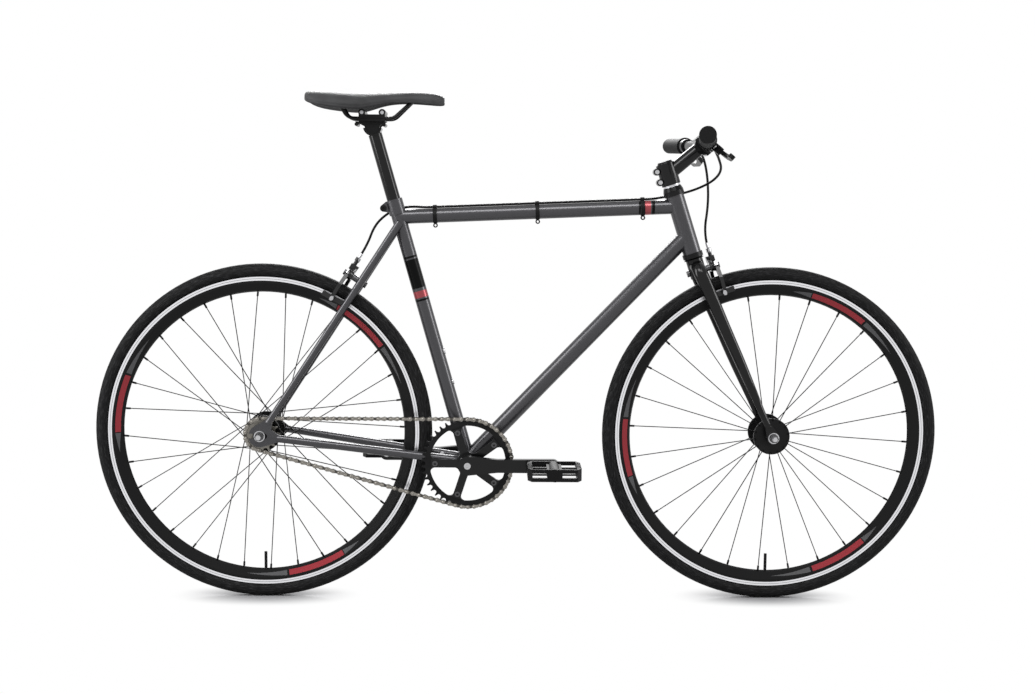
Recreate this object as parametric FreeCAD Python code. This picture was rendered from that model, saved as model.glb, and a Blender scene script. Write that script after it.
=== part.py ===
import FreeCAD, Part
import math
import os

Vector = FreeCAD.Vector

# Whole bicycle
wheelbase = 1022.0
tyre_radius = 339.0
bottom_bracket_drop = 56.0
head_angle = math.radians(72)
seat_angle = math.radians(74)
fork_rake = 42.0

# Clearances and the overrun of all cuts
cut_overrun = 2.0
touch_gap = 0.3
running_gap = 0.05
arc_reach_share = 0.45

# Chain and sprockets
chain_pitch = 12.7
chainring_teeth = 44
cog_teeth = 16
chainring_engaged_pitches = 24
cog_engaged_pitches = 8
straight_run_pitches = 32
chain_line = 42.0
roller_radius = 3.875
roller_sides = 6
chain_inner_width = 3.3
chain_plate = 1.0
chain_plate_gap = 0.1
link_half_height = 4.1
link_end_reach = 4.0
link_end_half_height = 1.9
tooth_height = 3.2
tooth_tip_half_width = 1.1
tooth_seat_share = math.cos(math.pi / 8)

# Chainring and cog bodies
window_outer_radius = 76.0
window_inner_radius = 22.0
window_corner_radius = 9.0
web_half_width = 8.0
bolt_circle_radius = 65.0
bolt_lobe_radius = 8.0
chainring_bolt_radius = 4.0
chainring_bolt_head_radius = 5.4
chainring_bolt_head = 1.6
chainring_bolt_socket_radius = 2.6
cog_bore_radius = 17.0
lockring_radius = 20.0
lockring_width = 4.0
lockring_bore_radius = 15.5

# Cranks
crank_length = 170.0
crank_hub_radius = 19.0
crank_waist_radius = 13.0
crank_end_radius = 13.5
crank_thickness = 13.0
crank_inner_face = 63.0
crank_waist_share = 0.35
spider_thickness = 5.0
crank_bolt_radius = 4.0
crank_bolt_head_radius = 6.6
crank_bolt_head = 4.0
crank_bolt_socket_radius = 4.0

# Bottom bracket
bottom_bracket_shell_radius = 20.0
bottom_bracket_shell_width = 68.0
bottom_bracket_bore_radius = 17.3
bottom_bracket_cup_flange = 3.0
bottom_bracket_cup_depth = 18.0
bottom_bracket_bearing_radius = 14.0
bottom_bracket_bearing_width = 9.0
spindle_radius = 8.5
spindle_square_half = 6.3
spindle_square_tip_half = 5.8

# Pedals
pedal_axle_radius = 4.5
pedal_thread_radius = 7.0
pedal_shoulder_radius = 7.5
pedal_shoulder = 4.0
pedal_width = 92.0
pedal_length = 104.0
pedal_height = 24.0
pedal_barrel_radius = 12.5
pedal_rail = 9.0
pedal_cross_bar = 8.0
pedal_nose = 16.0
pedal_tooth_depth = 4.0
pedal_tooth_pitch = 12.0
pedal_cap = 7.0
pedal_side_window_height = 10.0

# Main tubes
head_tube_radius = 18.25
head_tube_bore_radius = 17.0
head_tube_length = 120.0
top_tube_radius = 14.3
top_tube_seat_height = 509.5
top_tube_below_head = 23.0
down_tube_radius = 15.9
down_tube_above_head_end = 35.5
seat_tube_radius = 14.3
seat_tube_above_top_tube = 35.5
main_tube_wall = 1.0

# Seat lug and its binder
seat_lug_radius = 16.8
seat_lug_height = 30.0
binder_offset = 24.0
binder_drop = 11.0
binder_ear_radius = 7.0
binder_ear = 5.5
binder_slot = 3.0
binder_bolt_radius = 3.0
binder_head_radius = 6.2
binder_head = 4.5
binder_socket_radius = 2.6

# Stays, bridges and rear dropouts
chainstay_front_radius = 9.0
chainstay_rear_radius = 7.5
chainstay_front_offset = 22.0
seatstay_top_radius = 8.0
seatstay_low_radius = 6.5
seatstay_below_top_tube = 11.5
seatstay_top_offset = 13.5
stay_wall = 0.9
rear_hub_spacing = 120.0
dropout_thickness = 6.0
dropout_radius = 22.0
dropout_arm_radius = 8.0
chainstay_end_reach = 34.0
seatstay_end_reach = 30.0
dropout_slot_front = 10.0
chainstay_bridge_radius = 6.0
chainstay_bridge_reach = 54.0
brake_bridge_radius = 7.0

# Bottle bosses on the front of the seat tube
boss_heights = (226.0, 162.0)
boss_radius = 4.6
boss_flange_radius = 6.0
boss_flange = 1.5
boss_depth = 9.0
boss_thread_radius = 2.5

# Headset, steerer and fork
steerer_radius = 14.3
steerer_bore_radius = 12.0
fork_crown_height = 386.0
crown_sleeve_radius = 17.0
crown_sleeve_length = 38.0
crown_race_height = 3.0
headset_cup_radius = 20.5
headset_cup_height = 9.5
headset_cup_insert = 10.0
headset_bearing_radius = 16.0
headset_bearing_height = 7.0
headset_cover_height = 9.0
headset_cover_top_radius = 17.5
spacer_radius = 17.0
spacer_height = 3.5
top_cap_radius = 16.0
top_cap_top_radius = 13.5
top_cap_height = 4.5
top_cap_bolt_radius = 3.2
front_hub_spacing = 100.0
fork_tip_thickness = 6.0
fork_tip_radius = 13.0
fork_shoulder_half_width = 33.0
fork_shoulder_drop = 17.0
fork_root_drop = 12.0
fork_bend_reach = 22.0
fork_blade_end = 24.0
fork_root_depth = 14.2
fork_root_width = 11.0
fork_tip_depth = 7.0
fork_tip_width = 6.0
fork_bend_shares = (0.0, 0.33, 0.67, 1.0)
fork_taper_shares = (0.15, 0.4, 0.7, 1.0)
fork_slot_depth = 8.0

# Stem and handlebar
stem_length = 90.0
stem_rise = math.radians(22)
stem_clamp_height = 44.0
stem_clamp_radius = 19.0
stem_arm_root_radius = 14.0
stem_arm_tip_radius = 13.5
bar_clamp_radius = 19.5
bar_clamp_width = 42.0
faceplate_gap = 2.0
stem_ear_offset = 21.0
stem_ear_radius = 7.0
stem_ear_width = 20.0
stem_slot = 2.5
stem_bolt_radius = 2.5
stem_bolt_head_radius = 4.3
stem_bolt_head = 4.0
faceplate_bolt_height = 16.0
faceplate_bolt_spread = 13.0
faceplate_ear = 9.0
bar_clamp_bore_radius = 12.7
handlebar_radius = 11.1
handlebar_wall = 2.0
handlebar_half_width = 285.0
handlebar_elbow = 55.0
handlebar_bulge_half = 34.0
handlebar_bulge_taper = 12.0
handlebar_sweep = math.radians(8)
handlebar_rise = math.radians(2)
handlebar_bend_radius = 70.0
grip_length = 126.0
grip_radius = 16.0
grip_flange_radius = 18.0
grip_flange = 4.0
grip_end_wall = 3.0

# Brake levers and their brackets
lever_tilt = math.radians(40)
lever_clamp_radius = 15.0
lever_clamp_width = 16.0
lever_clamp_gap = 6.0
lever_pivot_reach = 27.0
lever_pivot_offset = 4.0
lever_boss_radius = 8.0
lever_thickness = 8.0
lever_cheek = 3.0
lever_slot_start = 18.0
lever_pin_radius = 2.5
lever_knee = (18.0, 46.0)
lever_blade_start = (52.0, 56.0)
lever_blade_end = (104.0, 57.0)
lever_radii = (7.0, 6.5, 5.0, 6.0)
lever_stop_radius = 5.0
lever_stop_length = 20.0
lever_stop_reach = 17.0

# Brake calipers
brake_reach = 54.0
brake_track_radius = 306.5
brake_arm_thickness = 7.0
brake_arm_radius = 6.5
brake_boss_radius = 9.5
brake_bolt_radius = 3.0
front_brake_standoff = 9.0
rear_brake_standoff = 14.0
brake_nut_radius = 6.5
brake_nut = 5.0
brake_shoulder = (25.0, -3.0)
brake_elbow = (35.0, -24.0)
brake_foot_offset = 27.0
brake_stop_place = (25.0, 14.0)
brake_stop_radius = 6.2
brake_anchor_place = (26.0, -7.0)
brake_small_end_radius = 5.5
brake_anchor_bolt_radius = 3.0
brake_anchor_bolt_head = 4.0
adjuster_radius = 4.0
adjuster_length = 22.0
adjuster_bore_radius = 1.6
adjuster_knob_radius = 5.5
adjuster_knob = 8.0
brake_pad_length = 50.0
brake_pad_height = 10.0
brake_pad_thickness = 9.0
brake_pad_clearance = 2.6
pad_bolt_radius = 3.0
pad_bolt_head_radius = 5.0
pad_bolt_head = 5.0

# Cable housings, their wires and the clips that hold one along the top tube
housing_radius = 2.5
wire_radius = 0.8
wire_clearance = 2.0
housing_lead = 30.0
housing_tube_lead = 20.0
# Corner points of the housings, measured from the bar centre, the head tube top and the seat lug
front_bar_offsets = ((13.0, 62.0, -31.0), (17.0, 42.0, -71.0))
front_head_offsets = ((72.0, 30.0, -19.0),)
rear_bar_offsets = ((23.0, -58.0, -27.0), (35.0, -22.0, -49.0))
rear_head_offsets = ((81.0, 14.0, 31.0), (49.0, 35.0, 13.0), (7.0, 36.0, 1.0), (-25.0, 18.0, -4.0))
rear_seat_offsets = ((26.0, 11.0, 21.0), (0.0, 24.0, 17.0), (-24.0, 25.5, 7.0), (-50.0, 25.0, -17.0))
clip_place_shares = (0.13, 0.496, 0.873)
clip_width = 8.0
clip_band = 1.2
clip_cable_gap = 0.6
clip_eye_radius = 4.6
clip_eye_bore_radius = 2.2
clip_eye_width = 6.0

# Wheels
tyre_width = 28.0
tyre_wall = 2.2
tyre_bead_half = 8.4
tyre_bead_depth = 5.0
rim_half_width = 10.5
rim_flange = 1.8
rim_top_gap = 0.4
rim_track_depth = 13.5
rim_inner_radius = 282.5
rim_nose_half_width = 4.0
rim_shoulder_rise = 2.5
rim_channel_depth = 8.0
rim_wall = 2.0
tube_gap = 1.0
tube_wall = 1.0
valve_bore_radius = 1.2
valve_radius = 3.0
valve_length = 34.0
valve_hole_gap = 0.3
spoke_radius = 1.0
spoke_sides = 6
nipple_radius = 2.2
nipple_length = 9.0
spoke_rim_offset = 1.6
spoke_flange_gap = 1.8
spoke_head_radius = 1.9
spoke_head = 1.0
front_spokes_count = 28
rear_spokes_count = 32
rear_spoke_crosses = 3
front_spoke_turn = math.radians(3.4)
rear_spoke_turn = math.radians(19)
flange_radius = 36.5
flange_thickness = 3.2
flange_hole_inset = 3.5
front_flange_offset = 33.0
rear_flange_offset = 28.0
front_hub_radius = 13.0
rear_hub_radius = 16.0
hub_end_gap = 7.0
hub_bore_radius = 8.0
hub_bearing_radius = 11.0
hub_bearing_width = 8.0
cog_boss_end = 46.0
front_axle_radius = 4.5
rear_axle_radius = 5.0
axle_washer = 2.0
axle_washer_radius = 11.0
axle_nut = 9.0
axle_nut_radius = 8.7
axle_stub = 6.0
axle_neck = 1.5
axle_neck_share = 0.8
locknut_radius = 8.0
locknut_gap = 0.3

# Seatpost, rail clamp and saddle
seatpost_radius = 13.6
seatpost_wall = 2.2
seatpost_insertion = 140.0
tilt_axis_height = 694.0
clamp_round_radius = 13.0
clamp_round_half_width = 15.0
post_head_radius = 18.5
post_head_half_width = 16.5
post_head_top = 3.0
post_head_depth = 23.0
rail_radius = 3.5
rail_height = 15.5
clamp_half_length = 26.0
clamp_half_width = 28.0
clamp_low_plate = 6.0
clamp_high_plate = 7.5
clamp_bolt_offset = 20.0
clamp_bolt_radius = 2.5
clamp_bolt_head_radius = 4.3
clamp_bolt_head = 3.0
rail_rear_place = (-66.0, 34.0, 47.0)
rail_rear_bend_place = (-47.0, 22.0)
rail_front_bend_place = (42.0, 22.0)
rail_front_place = (84.0, 9.0, 55.0)
rail_bend_radius = 22.0
saddle_length = 274.0
saddle_width = 146.0
saddle_height = 46.0
saddle_tail_reach = 132.0
saddle_bottom = 24.0
# Along from the tail, half width, crown top, shoulder, side, skirt and underside as shares
saddle_section_shares = (
    (0.000, 0.28, 0.90, 0.86, 0.78, 0.64, 0.68),
    (0.045, 0.40, 1.00, 0.90, 0.74, 0.50, 0.62),
    (0.140, 0.48, 1.00, 0.88, 0.64, 0.32, 0.58),
    (0.270, 0.50, 0.94, 0.82, 0.54, 0.13, 0.56),
    (0.390, 0.44, 0.89, 0.78, 0.50, 0.10, 0.56),
    (0.520, 0.29, 0.91, 0.82, 0.62, 0.38, 0.58),
    (0.680, 0.19, 0.96, 0.88, 0.72, 0.50, 0.62),
    (0.840, 0.155, 0.98, 0.90, 0.72, 0.46, 0.58),
    (0.960, 0.125, 0.86, 0.79, 0.66, 0.42, 0.52),
    (1.000, 0.060, 0.70, 0.66, 0.60, 0.48, 0.52),
)
saddle_shoulder_share = 0.72
saddle_skirt_share = 0.94

# Places that follow from the sizes above
across = Vector(0, 1, 0)
up = Vector(0, 0, 1)
ahead = Vector(1, 0, 0)
rear_axle_centre = Vector(-wheelbase / 2, 0, tyre_radius)
front_axle_centre = Vector(wheelbase / 2, 0, tyre_radius)


def unit(vector):
    return Vector(vector).normalize()


def pitch_radius(teeth):
    return chain_pitch / (2 * math.sin(math.pi / teeth))


def centre_distance():
    ring_angle = chainring_engaged_pitches * math.pi / chainring_teeth
    cog_angle = cog_engaged_pitches * math.pi / cog_teeth
    ring = pitch_radius(chainring_teeth)
    cog = pitch_radius(cog_teeth)
    rise = ring * math.sin(ring_angle) - cog * math.sin(cog_angle)
    run = math.sqrt((straight_run_pitches * chain_pitch) ** 2 - rise**2)
    return run - ring * math.cos(ring_angle) - cog * math.cos(cog_angle)


stay_length = centre_distance()
bottom_bracket = Vector(
    rear_axle_centre.x + math.sqrt(stay_length**2 - bottom_bracket_drop**2), 0,
    tyre_radius - bottom_bracket_drop
)
chain_ahead = unit(bottom_bracket - rear_axle_centre)
chain_up = Vector(-chain_ahead.z, 0, chain_ahead.x)
steer_up = Vector(-math.cos(head_angle), 0, math.sin(head_angle))
steer_out = Vector(math.sin(head_angle), 0, math.cos(head_angle))
steer_foot = front_axle_centre - steer_out * fork_rake
seat_up = Vector(-math.cos(seat_angle), 0, math.sin(seat_angle))
seat_out = Vector(math.sin(seat_angle), 0, math.cos(seat_angle))
seat_tube_length = top_tube_seat_height + seat_tube_above_top_tube
seatstay_top_height = top_tube_seat_height - seatstay_below_top_tube

# Heights up the steering axis
lower_cup_low = fork_crown_height + crown_race_height + touch_gap
head_low = lower_cup_low + headset_cup_height
head_high = head_low + head_tube_length
upper_cup_high = head_high + headset_cup_height
cover_low = upper_cup_high + touch_gap
cover_high = cover_low + headset_cover_height
stem_low = cover_high + spacer_height
stem_high = stem_low + stem_clamp_height
steerer_high = stem_high - touch_gap
stem_centre = stem_low + stem_clamp_height / 2
sprocket_thickness = chain_inner_width - 2 * touch_gap


def steer_point(out, side, height):
    return steer_foot + steer_out * out + across * side + steer_up * height


def seat_point(out, side, height):
    return bottom_bracket + seat_out * out + across * side + seat_up * height


bar_centre = steer_point(stem_length * math.cos(stem_rise), 0,
                         stem_centre + stem_length * math.sin(stem_rise))
seatstay_top = seat_point(0, 0, seatstay_top_height)
stay_up = unit(seatstay_top - rear_axle_centre)
stay_back = Vector(-stay_up.z, 0, stay_up.x)
top_tube_rear = seat_point(0, 0, top_tube_seat_height)
top_tube_front = steer_point(0, 0, head_high - top_tube_below_head)
top_tube_ahead = unit(top_tube_front - top_tube_rear)
top_tube_up = Vector(-top_tube_ahead.z, 0, top_tube_ahead.x)
top_tube_span = (top_tube_front - top_tube_rear).Length
housing_on_tube = top_tube_radius + housing_radius + touch_gap
tilt_axis = seat_point(0, 0, tilt_axis_height)


def rod(start, end, radius):
    return Part.makeCylinder(radius, (end - start).Length, start, end - start)


def cone(start, end, start_radius, end_radius):
    return Part.makeCone(start_radius, end_radius, (end - start).Length, start, end - start)


def hollow_rod(start, end, outer, inner):
    spare = unit(end - start) * cut_overrun
    return rod(start, end, outer).cut(rod(start - spare, end + spare, inner))


def slab(origin, x_axis, z_axis, low, high):
    size = [high[i] - low[i] for i in range(3)]
    return placed(Part.makeBox(*size, Vector(*low)), origin, x_axis, z_axis)


def placed(shape, origin, x_axis, z_axis):
    x = unit(x_axis)
    z = unit(z_axis)
    y = z.cross(x)
    rows = (x.x, y.x, z.x, origin.x, x.y, y.y, z.y, origin.y, x.z, y.z, z.z, origin.z, 0, 0, 0, 1)
    moved = shape.copy()
    moved.Placement = FreeCAD.Placement(FreeCAD.Matrix(*rows)).multiply(moved.Placement)
    return moved


def joined(shapes):
    first, *others = shapes
    return first.fuse(others).removeSplitter() if others else first


def mirrored(shape):
    return shape.mirror(Vector(0, 0, 0), across)


def prism(points, sweep):
    return Part.Face(Part.makePolygon(list(points) + [points[0]])).extrude(sweep)


def ring_points(centre, first_axis, second_axis, radius, sides):
    turns = [2 * math.pi * i / sides for i in range(sides)]
    return [centre + first_axis * (radius * math.cos(a)) + second_axis * (radius * math.sin(a))
            for a in turns]


def faceted_rod(start, end, radius, sides):
    along = unit(end - start)
    first = unit(along.cross(ahead if abs(along.x) < abs(along.z) else up))
    return prism(ring_points(start, first, along.cross(first), radius, sides), end - start)


def tangent_face(first, second):
    distance = math.hypot(second[0] - first[0], second[1] - first[1])
    heading = math.atan2(second[1] - first[1], second[0] - first[0])
    tilt = math.acos((first[2] - second[2]) / distance)

    def on(circle, angle):
        return Vector(circle[0] + circle[2] * math.cos(angle), circle[1] + circle[2] * math.sin(angle), 0)

    edges = (
        Part.LineSegment(on(first, heading + tilt), on(second, heading + tilt)),
        Part.Arc(on(second, heading + tilt), on(second, heading), on(second, heading - tilt)),
        Part.LineSegment(on(second, heading - tilt), on(first, heading - tilt)),
        Part.Arc(on(first, heading - tilt), on(first, heading + math.pi), on(first, heading + tilt)),
    )
    return Part.Face(Part.Wire([edge.toShape() for edge in edges]))


def tangent_plate(circles, low, high):
    sweep = Vector(0, 0, high - low)
    plates = [tangent_face(a, b).extrude(sweep) for a, b in zip(circles, circles[1:])]
    plate = joined(plates)
    plate.translate(Vector(0, 0, low))
    return plate


def route(points, bend_radius=None):
    edges = []
    here = points[0]
    for before, corner, after in zip(points, points[1:], points[2:]):
        back = unit(before - corner)
        onward = unit(after - corner)
        half_turn = (math.pi - back.getAngle(onward)) / 2
        reach = arc_reach_share * min((before - corner).Length, (after - corner).Length)
        if bend_radius:
            reach = bend_radius * math.tan(half_turn)
        radius = reach / math.tan(half_turn)
        middle = corner + unit(back + onward) * (radius / math.cos(half_turn) - radius)
        edges.append(Part.LineSegment(here, corner + back * reach))
        edges.append(Part.Arc(corner + back * reach, middle, corner + onward * reach))
        here = corner + onward * reach
    edges.append(Part.LineSegment(here, points[-1]))
    return Part.Wire([edge.toShape() for edge in edges])


def bent_rod(points, radius, bend_radius=None):
    ring = Part.Wire(Part.makeCircle(radius, points[0], points[1] - points[0]))
    return route(points, bend_radius).makePipeShell([ring], True, False)


def turned(centre, profile):
    corners = [centre + across * side + up * radius for side, radius in profile]
    face = Part.Face(Part.makePolygon(corners + [corners[0]]))
    return face.revolve(centre, across, 360)


def save(name, *shapes):
    solids = [solid for shape in shapes for solid in shape.Solids]
    whole = solids[0] if len(solids) == 1 else Part.makeCompound(solids)
    whole.exportStep(f"parts/{name}.step")


# Frame
def frame_tubes():
    lug_low = seat_point(0, 0, seat_tube_length - seat_lug_height)
    seat_high = seat_point(0, 0, seat_tube_length)
    over = seat_up * cut_overrun
    seat_outer = joined([rod(bottom_bracket, seat_high, seat_tube_radius),
                         rod(lug_low, seat_high, seat_lug_radius)])
    shell_half = across * (bottom_bracket_shell_width / 2)
    shell_outer = rod(bottom_bracket - shell_half, bottom_bracket + shell_half,
                      bottom_bracket_shell_radius)
    head_outer = rod(steer_point(0, 0, head_low), steer_point(0, 0, head_high), head_tube_radius)
    bore = seatpost_radius + running_gap
    ear_half = binder_slot / 2 + binder_ear
    ear_height = seat_tube_length - binder_drop
    ears = placed(
        tangent_plate(((0, 0, seat_lug_radius), (-binder_offset, 0, binder_ear_radius)), -ear_half,
                      ear_half),
        seat_point(0, 0, ear_height), seat_out, -across)
    ear_band = slab(seat_point(0, 0, ear_height), seat_out, seat_up,
                    (-2 * binder_offset, -ear_half - cut_overrun, -binder_drop),
                    (0, ear_half + cut_overrun, binder_drop))
    slot = slab(seat_point(0, 0, ear_height), seat_out, seat_up,
                (-2 * binder_offset, -binder_slot / 2, -seat_lug_height),
                (0, binder_slot / 2, binder_drop + cut_overrun))
    bolt_hole = rod(seat_point(-binder_offset, -ear_half - cut_overrun, ear_height),
                    seat_point(-binder_offset, ear_half + cut_overrun, ear_height), binder_bolt_radius)
    boss_holes = [rod(seat_point(0, 0, h), seat_point(seat_lug_radius + cut_overrun, 0, h), boss_radius)
                  for h in boss_heights]
    seat_tube = joined([seat_outer, ears.common(ear_band)])
    seat_tube = seat_tube.cut([rod(bottom_bracket, seat_high + over, bore), slot, bolt_hole,
                               shell_outer] + boss_holes)
    top_outer = rod(top_tube_rear, top_tube_front, top_tube_radius)
    top_inner = rod(top_tube_rear, top_tube_front, top_tube_radius - main_tube_wall)
    top_tube = top_outer.cut([top_inner, seat_outer, head_outer])
    down_end = steer_point(0, 0, head_low + down_tube_above_head_end)
    down_outer = rod(bottom_bracket, down_end, down_tube_radius)
    down_inner = rod(bottom_bracket, down_end, down_tube_radius - main_tube_wall)
    down_tube = down_outer.cut([down_inner, shell_outer, head_outer, seat_outer, top_outer])
    shell_bore = rod(bottom_bracket - shell_half * 2, bottom_bracket + shell_half * 2,
                     bottom_bracket_bore_radius)
    head_tube = hollow_rod(steer_point(0, 0, head_low), steer_point(0, 0, head_high),
                           head_tube_radius, head_tube_bore_radius)
    save("seat_tube", seat_tube)
    save("top_tube", top_tube)
    save("down_tube", down_tube)
    save("bottom_bracket_shell", shell_outer.cut(shell_bore))
    save("head_tube", head_tube)
    return seat_outer, shell_outer


def binder_bolt():
    ear_half = binder_slot / 2 + binder_ear
    height = seat_tube_length - binder_drop

    def at(side):
        return seat_point(-binder_offset, side, height)

    bolt = joined([rod(at(-ear_half), at(ear_half), binder_bolt_radius),
                   rod(at(-ear_half - binder_head), at(-ear_half), binder_head_radius),
                   rod(at(ear_half), at(ear_half + binder_head), binder_head_radius)])
    socket = rod(at(-ear_half - binder_head - cut_overrun), at(-ear_half - binder_head / 2),
                 binder_socket_radius)
    save("seat_binder_bolt", bolt.cut(socket))


def bottle_bosses():
    bosses = []
    for height in boss_heights:
        surface = seat_tube_radius - main_tube_wall / 2
        inner = seat_point(surface - boss_depth, 0, height)
        outer = seat_point(seat_tube_radius + boss_flange, 0, height)
        body = rod(inner, outer, boss_radius)
        flange = rod(seat_point(seat_tube_radius - boss_flange, 0, height), outer, boss_flange_radius)
        tube = rod(seat_point(0, 0, height - seat_lug_height),
                   seat_point(0, 0, height + seat_lug_height), seat_tube_radius)
        over = seat_out * cut_overrun
        boss = joined([body, flange.cut(tube)]).cut(rod(inner - over, outer + over, boss_thread_radius))
        bosses.append(boss)
    save("bottle_bosses", *bosses)


def rear_triangle(seat_outer, shell_outer):
    plate_mid = rear_hub_spacing / 2 + dropout_thickness / 2
    stay_front = bottom_bracket + across * chainstay_front_offset
    chain_end = rear_axle_centre + across * plate_mid + chain_ahead * chainstay_end_reach
    seat_end = rear_axle_centre + across * plate_mid + stay_up * seatstay_end_reach
    stay_top = seatstay_top + across * seatstay_top_offset
    slot_half = rear_axle_radius + running_gap

    def flat(point):
        return point.x - rear_axle_centre.x, point.z - rear_axle_centre.z

    plate = joined([
        tangent_plate(((0, 0, dropout_radius), (*flat(chain_end), dropout_arm_radius)),
                      -dropout_thickness / 2, dropout_thickness / 2),
        tangent_plate(((0, 0, dropout_radius), (*flat(seat_end), dropout_arm_radius)),
                      -dropout_thickness / 2, dropout_thickness / 2),
    ])
    slot = Part.makeBox(2 * dropout_radius, 2 * slot_half, 2 * dropout_thickness,
                        Vector(-2 * dropout_radius, -slot_half, -dropout_thickness))
    front_part = tangent_plate(((0, 0, slot_half), (dropout_slot_front, 0, slot_half)),
                               -dropout_thickness, dropout_thickness)
    plate = plate.cut([slot, front_part])
    dropout = placed(plate, rear_axle_centre + across * plate_mid, ahead, -across)

    def stay(start, end, start_radius, end_radius):
        along = unit(end - start)
        outer = cone(start, end, start_radius, end_radius)
        return outer.cut(cone(start, end - along * (2 * stay_wall), start_radius - stay_wall,
                              end_radius - stay_wall))

    chainstay = stay(stay_front, chain_end, chainstay_front_radius,
                     chainstay_rear_radius).cut([shell_outer, dropout])
    seatstay = stay(stay_top, seat_end, seatstay_top_radius,
                    seatstay_low_radius).cut([seat_outer, dropout])
    halves = slab(Vector(0, 0, 0), ahead, up, (-wheelbase, 0, 0), (wheelbase, wheelbase, 2 * wheelbase))
    seatstay = seatstay.common(halves)
    chainstay = biggest(chainstay)
    seatstay = biggest(seatstay)
    save("chainstays", chainstay, mirrored(chainstay))
    save("seatstays", seatstay, mirrored(seatstay))
    save("rear_dropouts", dropout, mirrored(dropout))

    bridge_at = rear_axle_centre + stay_up * (brake_track_radius + brake_reach)
    seat_cones = [cone(stay_top, seat_end, seatstay_top_radius, seatstay_low_radius)]
    seat_cones.append(mirrored(seat_cones[0]))
    brake_span = across * seatstay_top_offset * 3
    bolt_way = rod(bridge_at - stay_back * brake_span.Length, bridge_at + stay_back * brake_span.Length,
                   brake_bolt_radius)
    brake_bridge = biggest(rod(bridge_at - brake_span, bridge_at + brake_span,
                               brake_bridge_radius).cut(seat_cones))
    chain_cones = [cone(stay_front, chain_end, chainstay_front_radius, chainstay_rear_radius)]
    chain_cones.append(mirrored(chain_cones[0]))
    low_at = bottom_bracket - chain_ahead * chainstay_bridge_reach
    low_span = across * (2 * chainstay_front_offset)
    low_bridge = biggest(rod(low_at - low_span, low_at + low_span,
                             chainstay_bridge_radius).cut(chain_cones))
    save("stay_bridges", brake_bridge.cut(bolt_way), low_bridge)


def biggest(shape):
    return max(shape.Solids, key=lambda solid: solid.Volume)


# Headset and steering
def headset():
    def cup(face, outside):
        sign = 1 if outside > face else -1
        flange = rod(steer_point(0, 0, face), steer_point(0, 0, outside), headset_cup_radius)
        insert_end = face - sign * headset_cup_insert
        insert = rod(steer_point(0, 0, face), steer_point(0, 0, insert_end), head_tube_bore_radius)
        way = rod(steer_point(0, 0, insert_end - sign * cut_overrun),
                  steer_point(0, 0, outside + sign * cut_overrun),
                  steerer_radius + running_gap + touch_gap)
        race = rod(steer_point(0, 0, outside - sign * headset_bearing_height),
                   steer_point(0, 0, outside + sign * cut_overrun), headset_bearing_radius)
        bearing = hollow_rod(steer_point(0, 0, outside - sign * headset_bearing_height),
                             steer_point(0, 0, outside),
                             headset_bearing_radius, steerer_radius + running_gap)
        return joined([flange, insert]).cut([way, race]), bearing

    low_cup, low_bearing = cup(head_low, lower_cup_low)
    high_cup, high_bearing = cup(head_high, upper_cup_high)
    save("headset_cups", low_cup, high_cup, low_bearing, high_bearing)


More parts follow.
